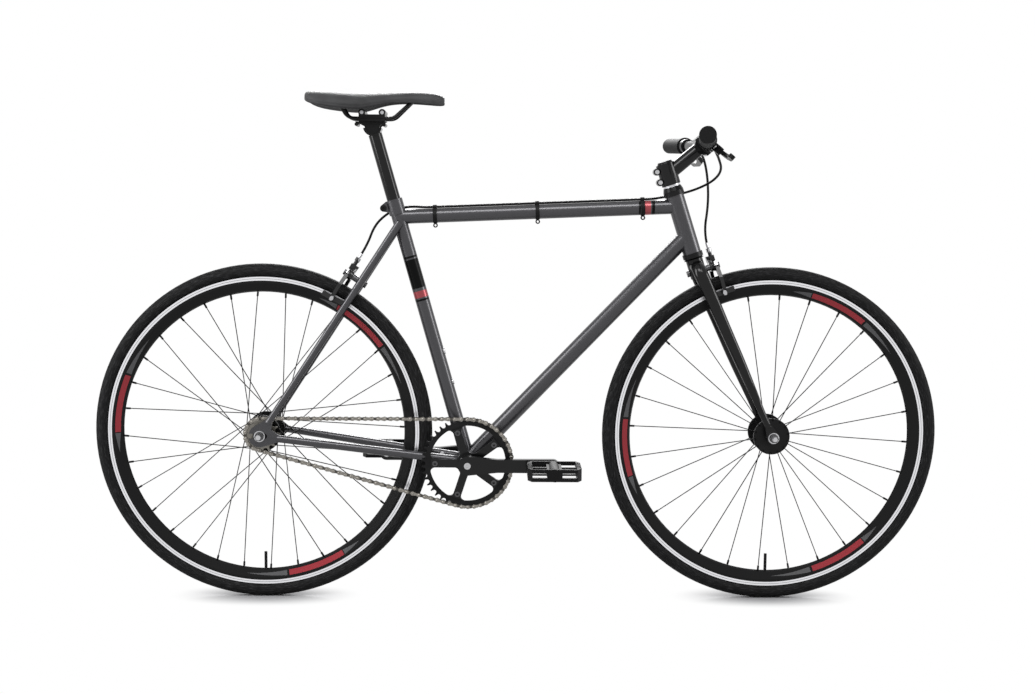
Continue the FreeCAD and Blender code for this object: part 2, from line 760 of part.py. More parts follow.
def fork():
    crown_low = fork_crown_height - crown_sleeve_length
    sleeve = rod(steer_point(0, 0, crown_low), steer_point(0, 0, fork_crown_height), crown_sleeve_radius)
    race = cone(steer_point(0, 0, fork_crown_height),
                steer_point(0, 0, fork_crown_height + crown_race_height),
                headset_cup_radius, crown_sleeve_radius)
    shaft = rod(steer_point(0, 0, crown_low), steer_point(0, 0, steerer_high), steerer_radius)
    bore = rod(steer_point(0, 0, crown_low + crown_race_height),
               steer_point(0, 0, steerer_high + cut_overrun), steerer_bore_radius)
    brake_hole = rod(steer_point(-2 * crown_sleeve_radius, 0, brake_pivot_height()),
                     steer_point(2 * crown_sleeve_radius, 0, brake_pivot_height()), brake_bolt_radius)
    save("fork_steerer", joined([sleeve, race, shaft]).cut([bore, brake_hole]))

    tip_side = front_hub_spacing / 2 + fork_tip_thickness / 2
    root = steer_point(0, 0, fork_crown_height - fork_root_drop)
    corner = steer_point(0, fork_shoulder_half_width, fork_crown_height - fork_shoulder_drop)
    tip_centre = front_axle_centre + across * tip_side
    end = tip_centre + unit(corner - tip_centre) * fork_blade_end
    inward = unit(root - corner)
    onward = unit(end - corner)
    bend_start = corner + inward * fork_bend_reach
    bend_end = corner + onward * fork_bend_reach
    half_turn = (math.pi - inward.getAngle(onward)) / 2
    bend_radius = fork_bend_reach / math.tan(half_turn)
    bend_centre = corner + unit(inward + onward) * (bend_radius / math.cos(half_turn))
    stations = [(root, -inward, 0)]
    for share in fork_bend_shares:
        angle = 2 * half_turn * share
        heading = (onward * math.sin(angle) - inward * math.sin(2 * half_turn - angle))
        first_part = (bend_start - bend_centre) * math.sin(2 * half_turn - angle)
        radial = first_part + (bend_end - bend_centre) * math.sin(angle)
        stations.append((bend_centre + unit(radial) * bend_radius, heading, 0))
    stations += [(bend_end + (end - bend_end) * share, onward, share) for share in fork_taper_shares]
    rings = []
    for place, heading, share in stations:
        normal = unit(heading)
        sideways = unit(normal.cross(steer_out))
        fore = sideways.cross(normal)
        depth = fork_root_depth + (fork_tip_depth - fork_root_depth) * share
        width = fork_root_width + (fork_tip_width - fork_root_width) * share
        rings.append(Part.Wire(Part.Ellipse(place + fore * depth, place + sideways * width,
                                            place).toShape()))
    blade = Part.makeLoft(rings, True, False)
    tip_end = (end.x - front_axle_centre.x, end.z - front_axle_centre.z, fork_tip_depth)
    tip = tangent_plate(((0, 0, fork_tip_radius), tip_end), -fork_tip_thickness / 2,
                        fork_tip_thickness / 2)
    slot_half = front_axle_radius + running_gap
    slot = tangent_plate(((0, 0, slot_half), (fork_slot_depth / 2, -2 * fork_tip_radius, slot_half)),
                         -fork_tip_thickness, fork_tip_thickness)
    tip = placed(tip.cut(slot), front_axle_centre + across * tip_side, ahead, -across)
    keep = slab(Vector(0, 0, 0), ahead, up, (0, 0, 0), (wheelbase, wheelbase, wheelbase))
    leg = joined([blade, tip]).cut([sleeve, brake_hole]).common(keep)
    leg = biggest(leg)
    save("fork_blades", leg, mirrored(leg))


def brake_pivot_height():
    return brake_track_radius + brake_reach


def headset_top():
    def ring(low, high, low_radius, high_radius):
        way = rod(steer_point(0, 0, low - cut_overrun), steer_point(0, 0, high + cut_overrun),
                  steerer_radius)
        return cone(steer_point(0, 0, low), steer_point(0, 0, high), low_radius, high_radius).cut(way)

    cover = ring(cover_low, cover_high, headset_cup_radius, headset_cover_top_radius)
    spacer = hollow_rod(steer_point(0, 0, cover_high), steer_point(0, 0, stem_low), spacer_radius,
                        steerer_radius)
    cap_high = stem_high + top_cap_height
    cap = cone(steer_point(0, 0, stem_high), steer_point(0, 0, cap_high), top_cap_radius,
               top_cap_top_radius)
    socket = rod(steer_point(0, 0, stem_high + top_cap_height / 2),
                 steer_point(0, 0, cap_high + cut_overrun), top_cap_bolt_radius)
    save("headset_cover", cover, spacer, cap.cut(socket))


def stem():
    low = steer_point(0, 0, stem_low)
    high = steer_point(0, 0, stem_high)
    over = steer_up * cut_overrun
    root = steer_point(0, 0, stem_centre)
    toward_bar = unit(bar_centre - root)
    stem_cross = toward_bar.cross(across)
    clamp_half = across * (bar_clamp_width / 2)
    barrel = rod(bar_centre - clamp_half, bar_centre + clamp_half, bar_clamp_radius)
    arm = cone(root, bar_centre, stem_arm_root_radius, stem_arm_tip_radius)
    ear_low = -stem_clamp_height / 2
    ear_high = stem_clamp_height / 2
    ears = []
    for height in (ear_low / 2, ear_high / 2):
        near = steer_point(-stem_ear_offset, -stem_ear_width / 2, stem_centre + height)
        far = near + across * stem_ear_width
        ears.append(rod(near, far, stem_ear_radius))
        ears.append(slab(root, steer_out, steer_up,
                         (-stem_ear_offset, -stem_ear_width / 2, height - stem_ear_radius),
                         (0, stem_ear_width / 2, height + stem_ear_radius)))
    slot = slab(root, steer_out, steer_up, (-2 * stem_ear_offset, -stem_slot / 2, ear_low - cut_overrun),
                (0, stem_slot / 2, ear_high + cut_overrun))
    face_ears = slab(bar_centre, toward_bar, stem_cross,
                     (-faceplate_ear, -bar_clamp_width / 2,
                      -faceplate_bolt_height - stem_bolt_head_radius),
                     (faceplate_ear, bar_clamp_width / 2, faceplate_bolt_height + stem_bolt_head_radius))
    shape = joined([rod(low, high, stem_clamp_radius), arm, barrel, face_ears] + ears)
    bar_way = rod(bar_centre - clamp_half * 2, bar_centre + clamp_half * 2, bar_clamp_bore_radius)
    shape = shape.cut([rod(low - over, high + over, steerer_radius), slot, bar_way])
    reach = 2 * bar_clamp_width
    back_half = slab(bar_centre, toward_bar, stem_cross, (-2 * stem_length, -reach, -reach),
                     (0, reach, reach))
    front_half = slab(bar_centre, toward_bar, stem_cross, (faceplate_gap, -reach, -reach),
                      (reach, reach, reach))
    bolts = []
    holes = []
    for spread in (-faceplate_bolt_spread, faceplate_bolt_spread):
        for height in (-faceplate_bolt_height, faceplate_bolt_height):
            at = bar_centre + across * spread + stem_cross * height
            deep = at - toward_bar * faceplate_ear
            top = at + toward_bar * faceplate_ear
            holes.append(rod(deep, top + toward_bar * cut_overrun, stem_bolt_radius))
            holes.append(rod(top, top + toward_bar * bar_clamp_radius, stem_bolt_head_radius + touch_gap))
            bolts.append(joined([rod(deep, top, stem_bolt_radius),
                                 rod(top, top + toward_bar * stem_bolt_head, stem_bolt_head_radius)]))
    for height in (stem_centre + ear_low / 2, stem_centre + ear_high / 2):
        near = steer_point(-stem_ear_offset, -stem_ear_width / 2, height)
        far = steer_point(-stem_ear_offset, stem_ear_width / 2, height)
        holes.append(rod(near, far, stem_bolt_radius))
        bolts.append(joined([rod(near, far, stem_bolt_radius),
                             rod(near - across * stem_bolt_head, near, stem_bolt_head_radius)]))
    shape = shape.cut(holes)
    save("stem", shape.common(back_half))
    save("stem_faceplate", shape.common(front_half))
    save("stem_bolts", *bolts)


def bar_arm(side):
    elbow = bar_centre + across * (side * handlebar_elbow)
    heading = Vector(-math.sin(handlebar_sweep), side * math.cos(handlebar_sweep),
                     math.sin(handlebar_rise))
    along = unit(heading)
    end = elbow + along * ((handlebar_half_width - handlebar_elbow) / abs(along.y))
    return elbow, along, end


def handlebar():
    left_elbow, left_along, left_end = bar_arm(1)
    right_elbow, right_along, right_end = bar_arm(-1)
    bar = bent_rod([left_end, left_elbow, right_elbow, right_end], handlebar_radius,
                   handlebar_bend_radius)
    half = across * (handlebar_bulge_half - handlebar_bulge_taper)
    outer = across * handlebar_bulge_half
    bulge = [rod(bar_centre - half, bar_centre + half, bar_clamp_bore_radius)]
    bulge += [cone(bar_centre + half * s, bar_centre + outer * s, bar_clamp_bore_radius,
                   handlebar_radius) for s in (1, -1)]
    spare = left_along * cut_overrun
    inside = bent_rod([left_end + spare, left_elbow, right_elbow, right_end + right_along * cut_overrun],
                      handlebar_radius - handlebar_wall, handlebar_bend_radius)
    save("handlebar", joined([bar] + bulge).cut(inside))
    grips = []
    for along, end in ((left_along, left_end), (right_along, right_end)):
        start = end - along * (grip_length - grip_end_wall)
        sleeve = joined([rod(start, end + along * grip_end_wall, grip_radius),
                         rod(start, start + along * grip_flange, grip_flange_radius)])
        grips.append(sleeve.cut(rod(start - along * cut_overrun, end, handlebar_radius)))
    save("grips", *grips)


def lever_frame(side):
    _, along, end = bar_arm(side)
    place = end - along * (grip_length - grip_end_wall + lever_clamp_gap + lever_clamp_width / 2)
    droop = Vector(math.cos(lever_tilt), 0, -math.sin(lever_tilt))
    toward = unit(droop - along * droop.dot(along))
    return place, along, toward


def levers():
    brackets = []
    for side, name in ((1, "left_brake_lever"), (-1, "right_brake_lever")):
        place, along, toward = lever_frame(side)
        hinge = along.cross(toward)
        half = along * (lever_clamp_width / 2)
        pivot = (lever_pivot_offset, lever_pivot_reach)
        cheek_half = lever_thickness / 2 + touch_gap + lever_cheek
        slot_half = lever_thickness / 2 + touch_gap
        body = tangent_plate(((0, 0, lever_clamp_width / 2), (*pivot, lever_boss_radius)), -cheek_half,
                             cheek_half)
        gap = Part.makeBox(4 * lever_clamp_width, 2 * lever_pivot_reach, 2 * slot_half,
                           Vector(-2 * lever_clamp_width, lever_slot_start, -slot_half))
        pin_hole = Part.makeCylinder(lever_pin_radius, 4 * cheek_half, Vector(*pivot, -2 * cheek_half))
        body = placed(body.cut([gap, pin_hole]), place, along, hinge)
        stop_start = place + toward * lever_stop_reach
        stop = rod(stop_start, stop_start - along * (lever_clamp_width / 2 + lever_stop_length),
                   lever_stop_radius)
        clamp = rod(place - half, place + half, lever_clamp_radius)
        bar_way = rod(place - half * 2, place + half * 2, handlebar_radius)
        slot_room = placed(gap, place, along, hinge)
        brackets.append(joined([body, clamp, stop.cut(slot_room)]).cut(bar_way))
        brackets.append(placed(Part.makeCylinder(lever_pin_radius, 2 * cheek_half,
                                                 Vector(*pivot, -cheek_half)),
                               place, along, hinge))
        spots = (pivot, lever_knee, lever_blade_start, lever_blade_end)
        blade = tangent_plate([(*spot, r) for spot, r in zip(spots, lever_radii)], -lever_thickness / 2,
                              lever_thickness / 2)
        pin_room = Part.makeCylinder(lever_pin_radius + running_gap, 4 * cheek_half,
                                     Vector(*pivot, -2 * cheek_half))
        save(name, placed(blade.cut(pin_room), place, along, hinge))
    save("lever_brackets", *brackets)


# Brake calipers
def caliper(front):
    if front:
        rise = steer_up
        out = steer_out
        face = steer_point(crown_sleeve_radius, 0, brake_pivot_height())
        wheel = front_axle_centre
    else:
        rise = stay_up
        out = stay_back
        face = rear_axle_centre + stay_up * brake_pivot_height() + stay_back * brake_bridge_radius
        wheel = rear_axle_centre
    sideways = rise.cross(out)
    arm_low = front_brake_standoff if front else rear_brake_standoff
    arm_high = arm_low + brake_arm_thickness
    second_low = arm_high + touch_gap
    second_high = second_low + brake_arm_thickness
    return rise, out, face, wheel, sideways, (arm_low, arm_high, second_low, second_high)


def brake_arms(front, prefix):
    _, out, face, wheel, sideways, layers = caliper(front)
    sign = 1 if sideways.y > 0 else -1
    room = brake_bolt_radius + running_gap
    bore = Part.makeCylinder(room, layers[3] + cut_overrun, Vector(0, 0, 0))
    pad_mid = (layers[0] + layers[3]) / 2
    pad_out = (face - wheel).dot(out) + pad_mid
    foot_height = math.sqrt(brake_track_radius**2 - pad_out**2) - brake_pivot_height()
    pad_tilt = math.degrees(math.atan2(pad_out, brake_track_radius))
    for label, side, low, high in (("left", 1, layers[0], layers[1]),
                                   ("right", -1, layers[2], layers[3])):
        flip = side * sign
        chain_of_circles = [(0, 0, brake_boss_radius)]
        chain_of_circles += [(flip * a, b, brake_arm_radius) for a, b in (brake_shoulder, brake_elbow)]
        chain_of_circles.append((flip * brake_foot_offset, foot_height, brake_arm_radius))
        arm = tangent_plate(chain_of_circles, low, high)
        place = brake_stop_place if side > 0 else brake_anchor_place
        extra = tangent_plate(((0, 0, brake_boss_radius),
                               (sign * place[0], place[1], brake_small_end_radius)), low, high)
        arm = joined([arm, extra])
        pieces = []
        if side > 0:
            knob_start = Vector(sign * place[0], place[1], (layers[2] + layers[3]) / 2)
            lift = Vector(0, 1, 0)
            lug_corner = Vector(sign * place[0] - brake_stop_radius, place[1] - brake_stop_radius, low)
            lug = Part.makeBox(2 * brake_stop_radius, 2 * brake_stop_radius,
                               knob_start.z + brake_stop_radius - low, lug_corner)
            barrel = Part.makeCylinder(adjuster_radius, adjuster_length, knob_start, lift)
            knob_at = knob_start + lift * (adjuster_length - adjuster_knob)
            knob = Part.makeCylinder(adjuster_knob_radius, adjuster_knob, knob_at, lift)
            wire_way = Part.makeCylinder(adjuster_bore_radius, 2 * adjuster_length,
                                         knob_start - lift * adjuster_length / 2, lift)
            arm = joined([arm, lug, barrel, knob]).cut([bore, wire_way])
        else:
            bolt_at = Vector(sign * place[0], place[1], high)
            head = Part.makeCylinder(brake_anchor_bolt_radius, brake_anchor_bolt_head, bolt_at)
            arm = joined([arm, head]).cut(bore)
        pieces.append(arm)
        pad_side = rim_half_width + brake_pad_clearance
        pad_face = flip * pad_side
        pad_back = flip * (pad_side + brake_pad_thickness)
        bolt_end = flip * (brake_foot_offset + brake_arm_radius + pad_bolt_head)
        pad = Part.makeBox(brake_pad_thickness, brake_pad_height, brake_pad_length,
                           Vector(min(pad_face, pad_back), foot_height - brake_pad_height / 2,
                                  pad_mid - brake_pad_length / 2))
        pad.rotate(Vector(0, foot_height, pad_mid), Vector(1, 0, 0), pad_tilt)
        stud_at = Vector(pad_back, foot_height, (low + high) / 2)
        stud_way = Vector(flip, 0, 0)
        stud_length = abs(bolt_end - pad_back)
        stud = Part.makeCylinder(pad_bolt_radius, stud_length, stud_at, stud_way)
        head_at = Vector(flip * (brake_foot_offset + brake_arm_radius), foot_height, (low + high) / 2)
        head = Part.makeCylinder(pad_bolt_head_radius, pad_bolt_head, head_at, stud_way)
        pieces[0] = pieces[0].cut(stud)
        pieces.append(joined([pad, stud, head]))
        save(f"{prefix}_brake_arm_{label}", *[placed(piece, face, sideways, out) for piece in pieces])


def brake_bolt(front, prefix):
    _, out, face, _, _, layers = caliper(front)
    inside = crown_sleeve_radius if front else brake_bridge_radius
    nut_at = face + out * (layers[3] + touch_gap)
    back = face - out * (2 * inside)
    bolt = joined([rod(back - out * brake_nut, nut_at + out * brake_nut, brake_bolt_radius),
                   rod(nut_at, nut_at + out * brake_nut, brake_nut_radius),
                   rod(back - out * brake_nut, back, brake_nut_radius)])
    washer = hollow_rod(face, face + out * (layers[0] - touch_gap), brake_nut_radius, brake_bolt_radius)
    save(f"{prefix}_brake_bolt", bolt, washer)


# Cable housings follow routes chosen by hand
def housings():
    def wire_end(front):
        rise, out, face, _, sideways, layers = caliper(front)
        sign = 1 if sideways.y > 0 else -1
        stop = face + sideways * (sign * brake_stop_place[0]) + out * ((layers[2] + layers[3]) / 2)
        top = stop + rise * (brake_stop_place[1] + adjuster_length + touch_gap)
        low = stop + rise * (brake_anchor_place[1] + brake_small_end_radius + wire_clearance)
        return top, low, rise

    def lever_end(side):
        place, along, toward = lever_frame(side)
        start = place + toward * lever_stop_reach
        return start - along * (lever_clamp_width / 2 + lever_stop_length + touch_gap), -along

    for prefix, side, middle in (("front", 1, front_route()), ("rear", -1, rear_route())):
        start, heading = lever_end(side)
        top, low, rise = wire_end(side > 0)
        points = [start, start + heading * housing_lead, *middle, top + rise * housing_lead, top]
        cover = bent_rod(points, housing_radius)
        wire = rod(low, top, wire_radius)
        path = route(points)
        print(prefix, "housing", round(path.Length, 1), "mm, volume ratio",
              round(cover.Volume / (math.pi * housing_radius**2 * path.Length), 4),
              "least radius", round(least_radius(path), 1))
        save(f"{prefix}_brake_housing", cover, wire)


def least_radius(path):
    return min(edge.Curve.Radius for edge in path.Edges if hasattr(edge.Curve, "Radius"))


def front_route():
    head_top = steer_point(0, 0, head_high)
    return [bar_centre + Vector(*p) for p in front_bar_offsets] + [head_top + Vector(*p)
                                                                   for p in front_head_offsets]


def on_top_tube(reach):
    return top_tube_rear + top_tube_ahead * reach + top_tube_up * housing_on_tube


def rear_route():
    head_top = steer_point(0, 0, head_high)
    first_clip = clip_place_shares[0] * top_tube_span
    last_clip = clip_place_shares[-1] * top_tube_span
    points = [bar_centre + Vector(*p) for p in rear_bar_offsets]
    points += [head_top + Vector(*p) for p in rear_head_offsets]
    points += [on_top_tube(last_clip + housing_tube_lead), on_top_tube(first_clip - housing_tube_lead)]
    return points + [top_tube_rear + Vector(*p) for p in rear_seat_offsets]


def cable_clips():
    clips = []
    for share in clip_place_shares:
        centre = top_tube_rear + top_tube_ahead * (share * top_tube_span)
        half = top_tube_ahead * (clip_width / 2)
        band = rod(centre - half, centre + half, top_tube_radius + clip_band)
        cable = centre + top_tube_up * housing_on_tube
        cable_room = housing_radius + clip_cable_gap
        loop = rod(cable - half, cable + half, cable_room + clip_band)
        eye_at = centre - top_tube_up * (top_tube_radius + clip_band / 2 + clip_eye_radius)
        eye_half = across * (clip_eye_width / 2)
        eye = rod(eye_at - eye_half, eye_at + eye_half, clip_eye_radius)
        ways = [rod(centre - half * 2, centre + half * 2, top_tube_radius),
                rod(cable - half * 2, cable + half * 2, cable_room),
                rod(eye_at - eye_half * 2, eye_at + eye_half * 2, clip_eye_bore_radius)]
        clips.append(joined([band, loop, eye]).cut(ways))
    save("cable_clips", *clips)


# Wheels
def tyre(centre, name):
    crown = tyre_width / 2
    middle = tyre_radius - crown
    inner = crown - tyre_wall
    bead_in = tyre_bead_half - tyre_wall
    outer_low = middle - math.sqrt(crown**2 - tyre_bead_half**2)
    inner_low = middle - math.sqrt(inner**2 - bead_in**2)
    foot = outer_low - tyre_bead_depth

    def at(side, radius):
        return centre + across * side + up * radius

    edges = (
        Part.LineSegment(at(-bead_in, inner_low), at(-bead_in, foot)),
        Part.LineSegment(at(-bead_in, foot), at(-tyre_bead_half, foot)),
        Part.LineSegment(at(-tyre_bead_half, foot), at(-tyre_bead_half, outer_low)),
        Part.Arc(at(-tyre_bead_half, outer_low), at(0, tyre_radius), at(tyre_bead_half, outer_low)),
        Part.LineSegment(at(tyre_bead_half, outer_low), at(tyre_bead_half, foot)),
        Part.LineSegment(at(tyre_bead_half, foot), at(bead_in, foot)),
        Part.LineSegment(at(bead_in, foot), at(bead_in, inner_low)),
        Part.Arc(at(bead_in, inner_low), at(0, middle + inner), at(-bead_in, inner_low)),
    )
    face = Part.Face(Part.Wire([edge.toShape() for edge in edges]))
    save(f"{name}_tyre", face.revolve(centre, across, 360))
    tube_radius = inner - tube_gap
    ring = Part.makeTorus(middle, tube_radius, centre, across)
    valve_low = rim_inner_radius - valve_length
    valve = rod(centre + valve_way() * valve_low, centre + valve_way() * middle, valve_radius)
    air = Part.makeTorus(middle, tube_radius - tube_wall, centre, across)
    air_way = rod(centre + valve_way() * (valve_low - cut_overrun), centre + valve_way() * middle,
                  valve_bore_radius)
    save(f"{name}_inner_tube", joined([ring, valve]).cut([air, air_way]))


def valve_way():
    return up * -1


def rim(centre, name):
    crown = tyre_width / 2
    middle = tyre_radius - crown
    top = middle - math.sqrt(crown**2 - (tyre_bead_half + touch_gap) ** 2) - rim_top_gap
    track_low = top - rim_track_depth
    flange_in = tyre_bead_half + touch_gap
    floor = top - rim_channel_depth
    nose = rim_nose_half_width
    half = [(rim_half_width, top), (rim_half_width, track_low),
            (nose, rim_inner_radius + rim_shoulder_rise)]
    profile = half + [(0, rim_inner_radius)] + [(-side, radius) for side, radius in reversed(half)]
    profile += [(rim_flange - rim_half_width, top), (-flange_in, floor), (flange_in, floor),
                (rim_half_width - rim_flange, top)]
    valve_hole = rod(centre, centre + valve_way() * middle, valve_radius + valve_hole_gap)
    box_half = [(rim_half_width - rim_wall, floor - rim_wall), (rim_half_width - rim_wall, track_low),
                (nose - rim_wall, rim_inner_radius + rim_shoulder_rise + rim_wall)]
    box = turned(centre, box_half + [(-side, radius) for side, radius in reversed(box_half)])
    save(f"{name}_rim", turned(centre, profile).cut([box, valve_hole]))


def spoke_lines(centre, count, flange_offset, crosses, turn):
    hole_radius = flange_radius - flange_hole_inset
    side_step = flange_thickness / 2 + spoke_radius + spoke_flange_gap
    lines = []
    for index in range(count):
        side = 1 if index % 2 else -1
        rim_angle = 2 * math.pi * (index + 0.5) / count + turn
        leading = 1 if (index // 2) % 2 else -1
        hub_angle = rim_angle + leading * crosses * 4 * math.pi / count
        outside = leading if crosses else -1
        flange = centre + across * (side * flange_offset)
        flange = flange + (ahead * math.cos(hub_angle) + up * math.sin(hub_angle)) * hole_radius
        outward = ahead * math.cos(rim_angle) + up * math.sin(rim_angle)
        end = centre + outward * rim_inner_radius + across * (side * spoke_rim_offset)
        through = across * (-side * outside)
        lines.append((flange - through * side_step, flange + through * (flange_thickness / 2), end,
                      through))
    return lines


def spokes(lines):
    made = []
    for start, far_face, end, through in lines:
        along = unit(end - start)
        head_end = far_face + through * spoke_head
        made.append(joined([faceted_rod(start, end, spoke_radius, spoke_sides),
                            faceted_rod(end - along * nipple_length, end, nipple_radius, spoke_sides),
                            faceted_rod(start, head_end, spoke_radius, spoke_sides),
                            faceted_rod(far_face + through * touch_gap, head_end, spoke_head_radius,
                                        spoke_sides)]))
    return made


def hub(centre, name, spacing, flange_offset, body_radius, axle_radius, cog_side, lines):
    end = spacing / 2 - hub_end_gap
    low = flange_offset - flange_thickness / 2
    high = flange_offset + flange_thickness / 2
    pocket = end - hub_bearing_width
    bore = [(pocket, hub_bore_radius), (pocket, hub_bearing_radius), (end, hub_bearing_radius)]
    neck = [(end, body_radius), (high, body_radius)]
    flange = [(high, flange_radius), (low, flange_radius), (low, body_radius)]
    right_neck = neck
    if cog_side:
        right_neck = [(end, lockring_bore_radius), (cog_boss_end, lockring_bore_radius),
                      (cog_boss_end, cog_bore_radius), (high, cog_bore_radius)]
    left_half = bore + neck + flange
    right_half = bore + right_neck + flange
    holes = [rod(start, far_face + through * cut_overrun, spoke_radius + touch_gap)
             for start, far_face, _, through in lines]
    profile = left_half + [(-side, radius) for side, radius in reversed(right_half)]
    shell = turned(centre, profile).cut(holes)
    bearings = [hollow_rod(centre + across * (s * pocket), centre + across * (s * end),
                           hub_bearing_radius,
                           axle_radius + running_gap) for s in (1, -1)]
    save(f"{name}_hub", shell, *bearings)


def axle(centre, name, spacing, plate, radius):
    stop = spacing / 2
    outside = stop + plate
    nut_high = outside + axle_washer + axle_nut
    stub_low = nut_high + axle_neck
    pieces = [rod(centre - across * nut_high, centre + across * nut_high, radius)]
    nuts = []
    for s in (1, -1):
        neck_start = centre + across * (s * nut_high)
        stub_start = centre + across * (s * stub_low)
        pieces.append(rod(neck_start, stub_start, radius * axle_neck_share))
        pieces.append(rod(stub_start, stub_start + across * (s * axle_stub), radius))
        locknut_in = stop - hub_end_gap + locknut_gap
        nuts.append(hollow_rod(centre + across * (s * locknut_in), centre + across * (s * stop),
                               locknut_radius, radius))
        washer = hollow_rod(centre + across * (s * outside),
                            centre + across * (s * (outside + axle_washer)), axle_washer_radius, radius)
        start = centre + across * (s * (outside + axle_washer))
        hexagon = prism(ring_points(start, ahead, up, axle_nut_radius, 6), across * (s * axle_nut))
        nuts.append(washer)
        nuts.append(hexagon.cut(rod(start - across * (s * cut_overrun),
                                    start + across * (s * 2 * axle_nut), radius)))
    save(f"{name}_axle", joined(pieces), *nuts)


# Drive
def sprocket_outline(teeth, centre, gap_heading):
    radius = pitch_radius(teeth)
    seat = (roller_radius + touch_gap) / tooth_seat_share
    half = math.pi / teeth
    tip = radius + tooth_height
    points = []
    for index in range(teeth):
        middle = gap_heading + 2 * index * half
        toward = (math.cos(middle), math.sin(middle))
        beside = (-toward[1], toward[0])

        def spot(out, along):
            return (centre[0] + toward[0] * out + beside[0] * along,
                    centre[1] + toward[1] * out + beside[1] * along)

        slant = math.pi / 4
        tip_side = tip * math.tan(half) - tooth_tip_half_width
        points += [spot(tip, -tip_side), spot(radius, -seat),
                   spot(radius - seat * math.sin(slant), -seat * math.cos(slant)),
                   spot(radius - seat, 0), spot(radius - seat * math.sin(slant), seat * math.cos(slant)),
                   spot(radius, seat), spot(tip, tip_side)]
    return points


def sprocket(teeth, centre, gap_heading):
    outline = sprocket_outline(teeth, (centre.x, centre.z), gap_heading)
    low = -chain_line - sprocket_thickness / 2
    corners = [Vector(x, low, z) for x, z in outline]
    return prism(corners, across * sprocket_thickness)


def spider_angles():
    return [math.pi / 5 * (2 * index + 1) for index in range(5)]


def spider_windows(low, high):
    windows = []
    fifth = 2 * math.pi / 5
    for a in spider_angles():
        def spot(radius, share):
            edge = math.asin(web_half_width / radius)
            angle = a + edge + share * (fifth - 2 * edge)
            return bottom_bracket + (ahead * math.cos(angle)
                                     + up * math.sin(angle)) * radius + across * low

        corners = (spot(window_outer_radius, 0), spot(window_outer_radius, 1),
                   spot(window_inner_radius, 1), spot(window_inner_radius, 0))
        edges = (
            Part.Arc(corners[0], spot(window_outer_radius, 0.5), corners[1]),
            Part.LineSegment(corners[1], corners[2]),
            Part.Arc(corners[2], spot(window_inner_radius, 0.5), corners[3]),
            Part.LineSegment(corners[3], corners[0]),
        )
        sharp = Part.Face(Part.Wire([edge.toShape() for edge in edges]))
        rounded = sharp.makeOffset2D(-window_corner_radius).makeOffset2D(window_corner_radius)
        windows.append(rounded.extrude(across * (high - low)))
    return windows


def disc(centre, low, high, radius):
    return rod(centre + across * low, centre + across * high, radius)


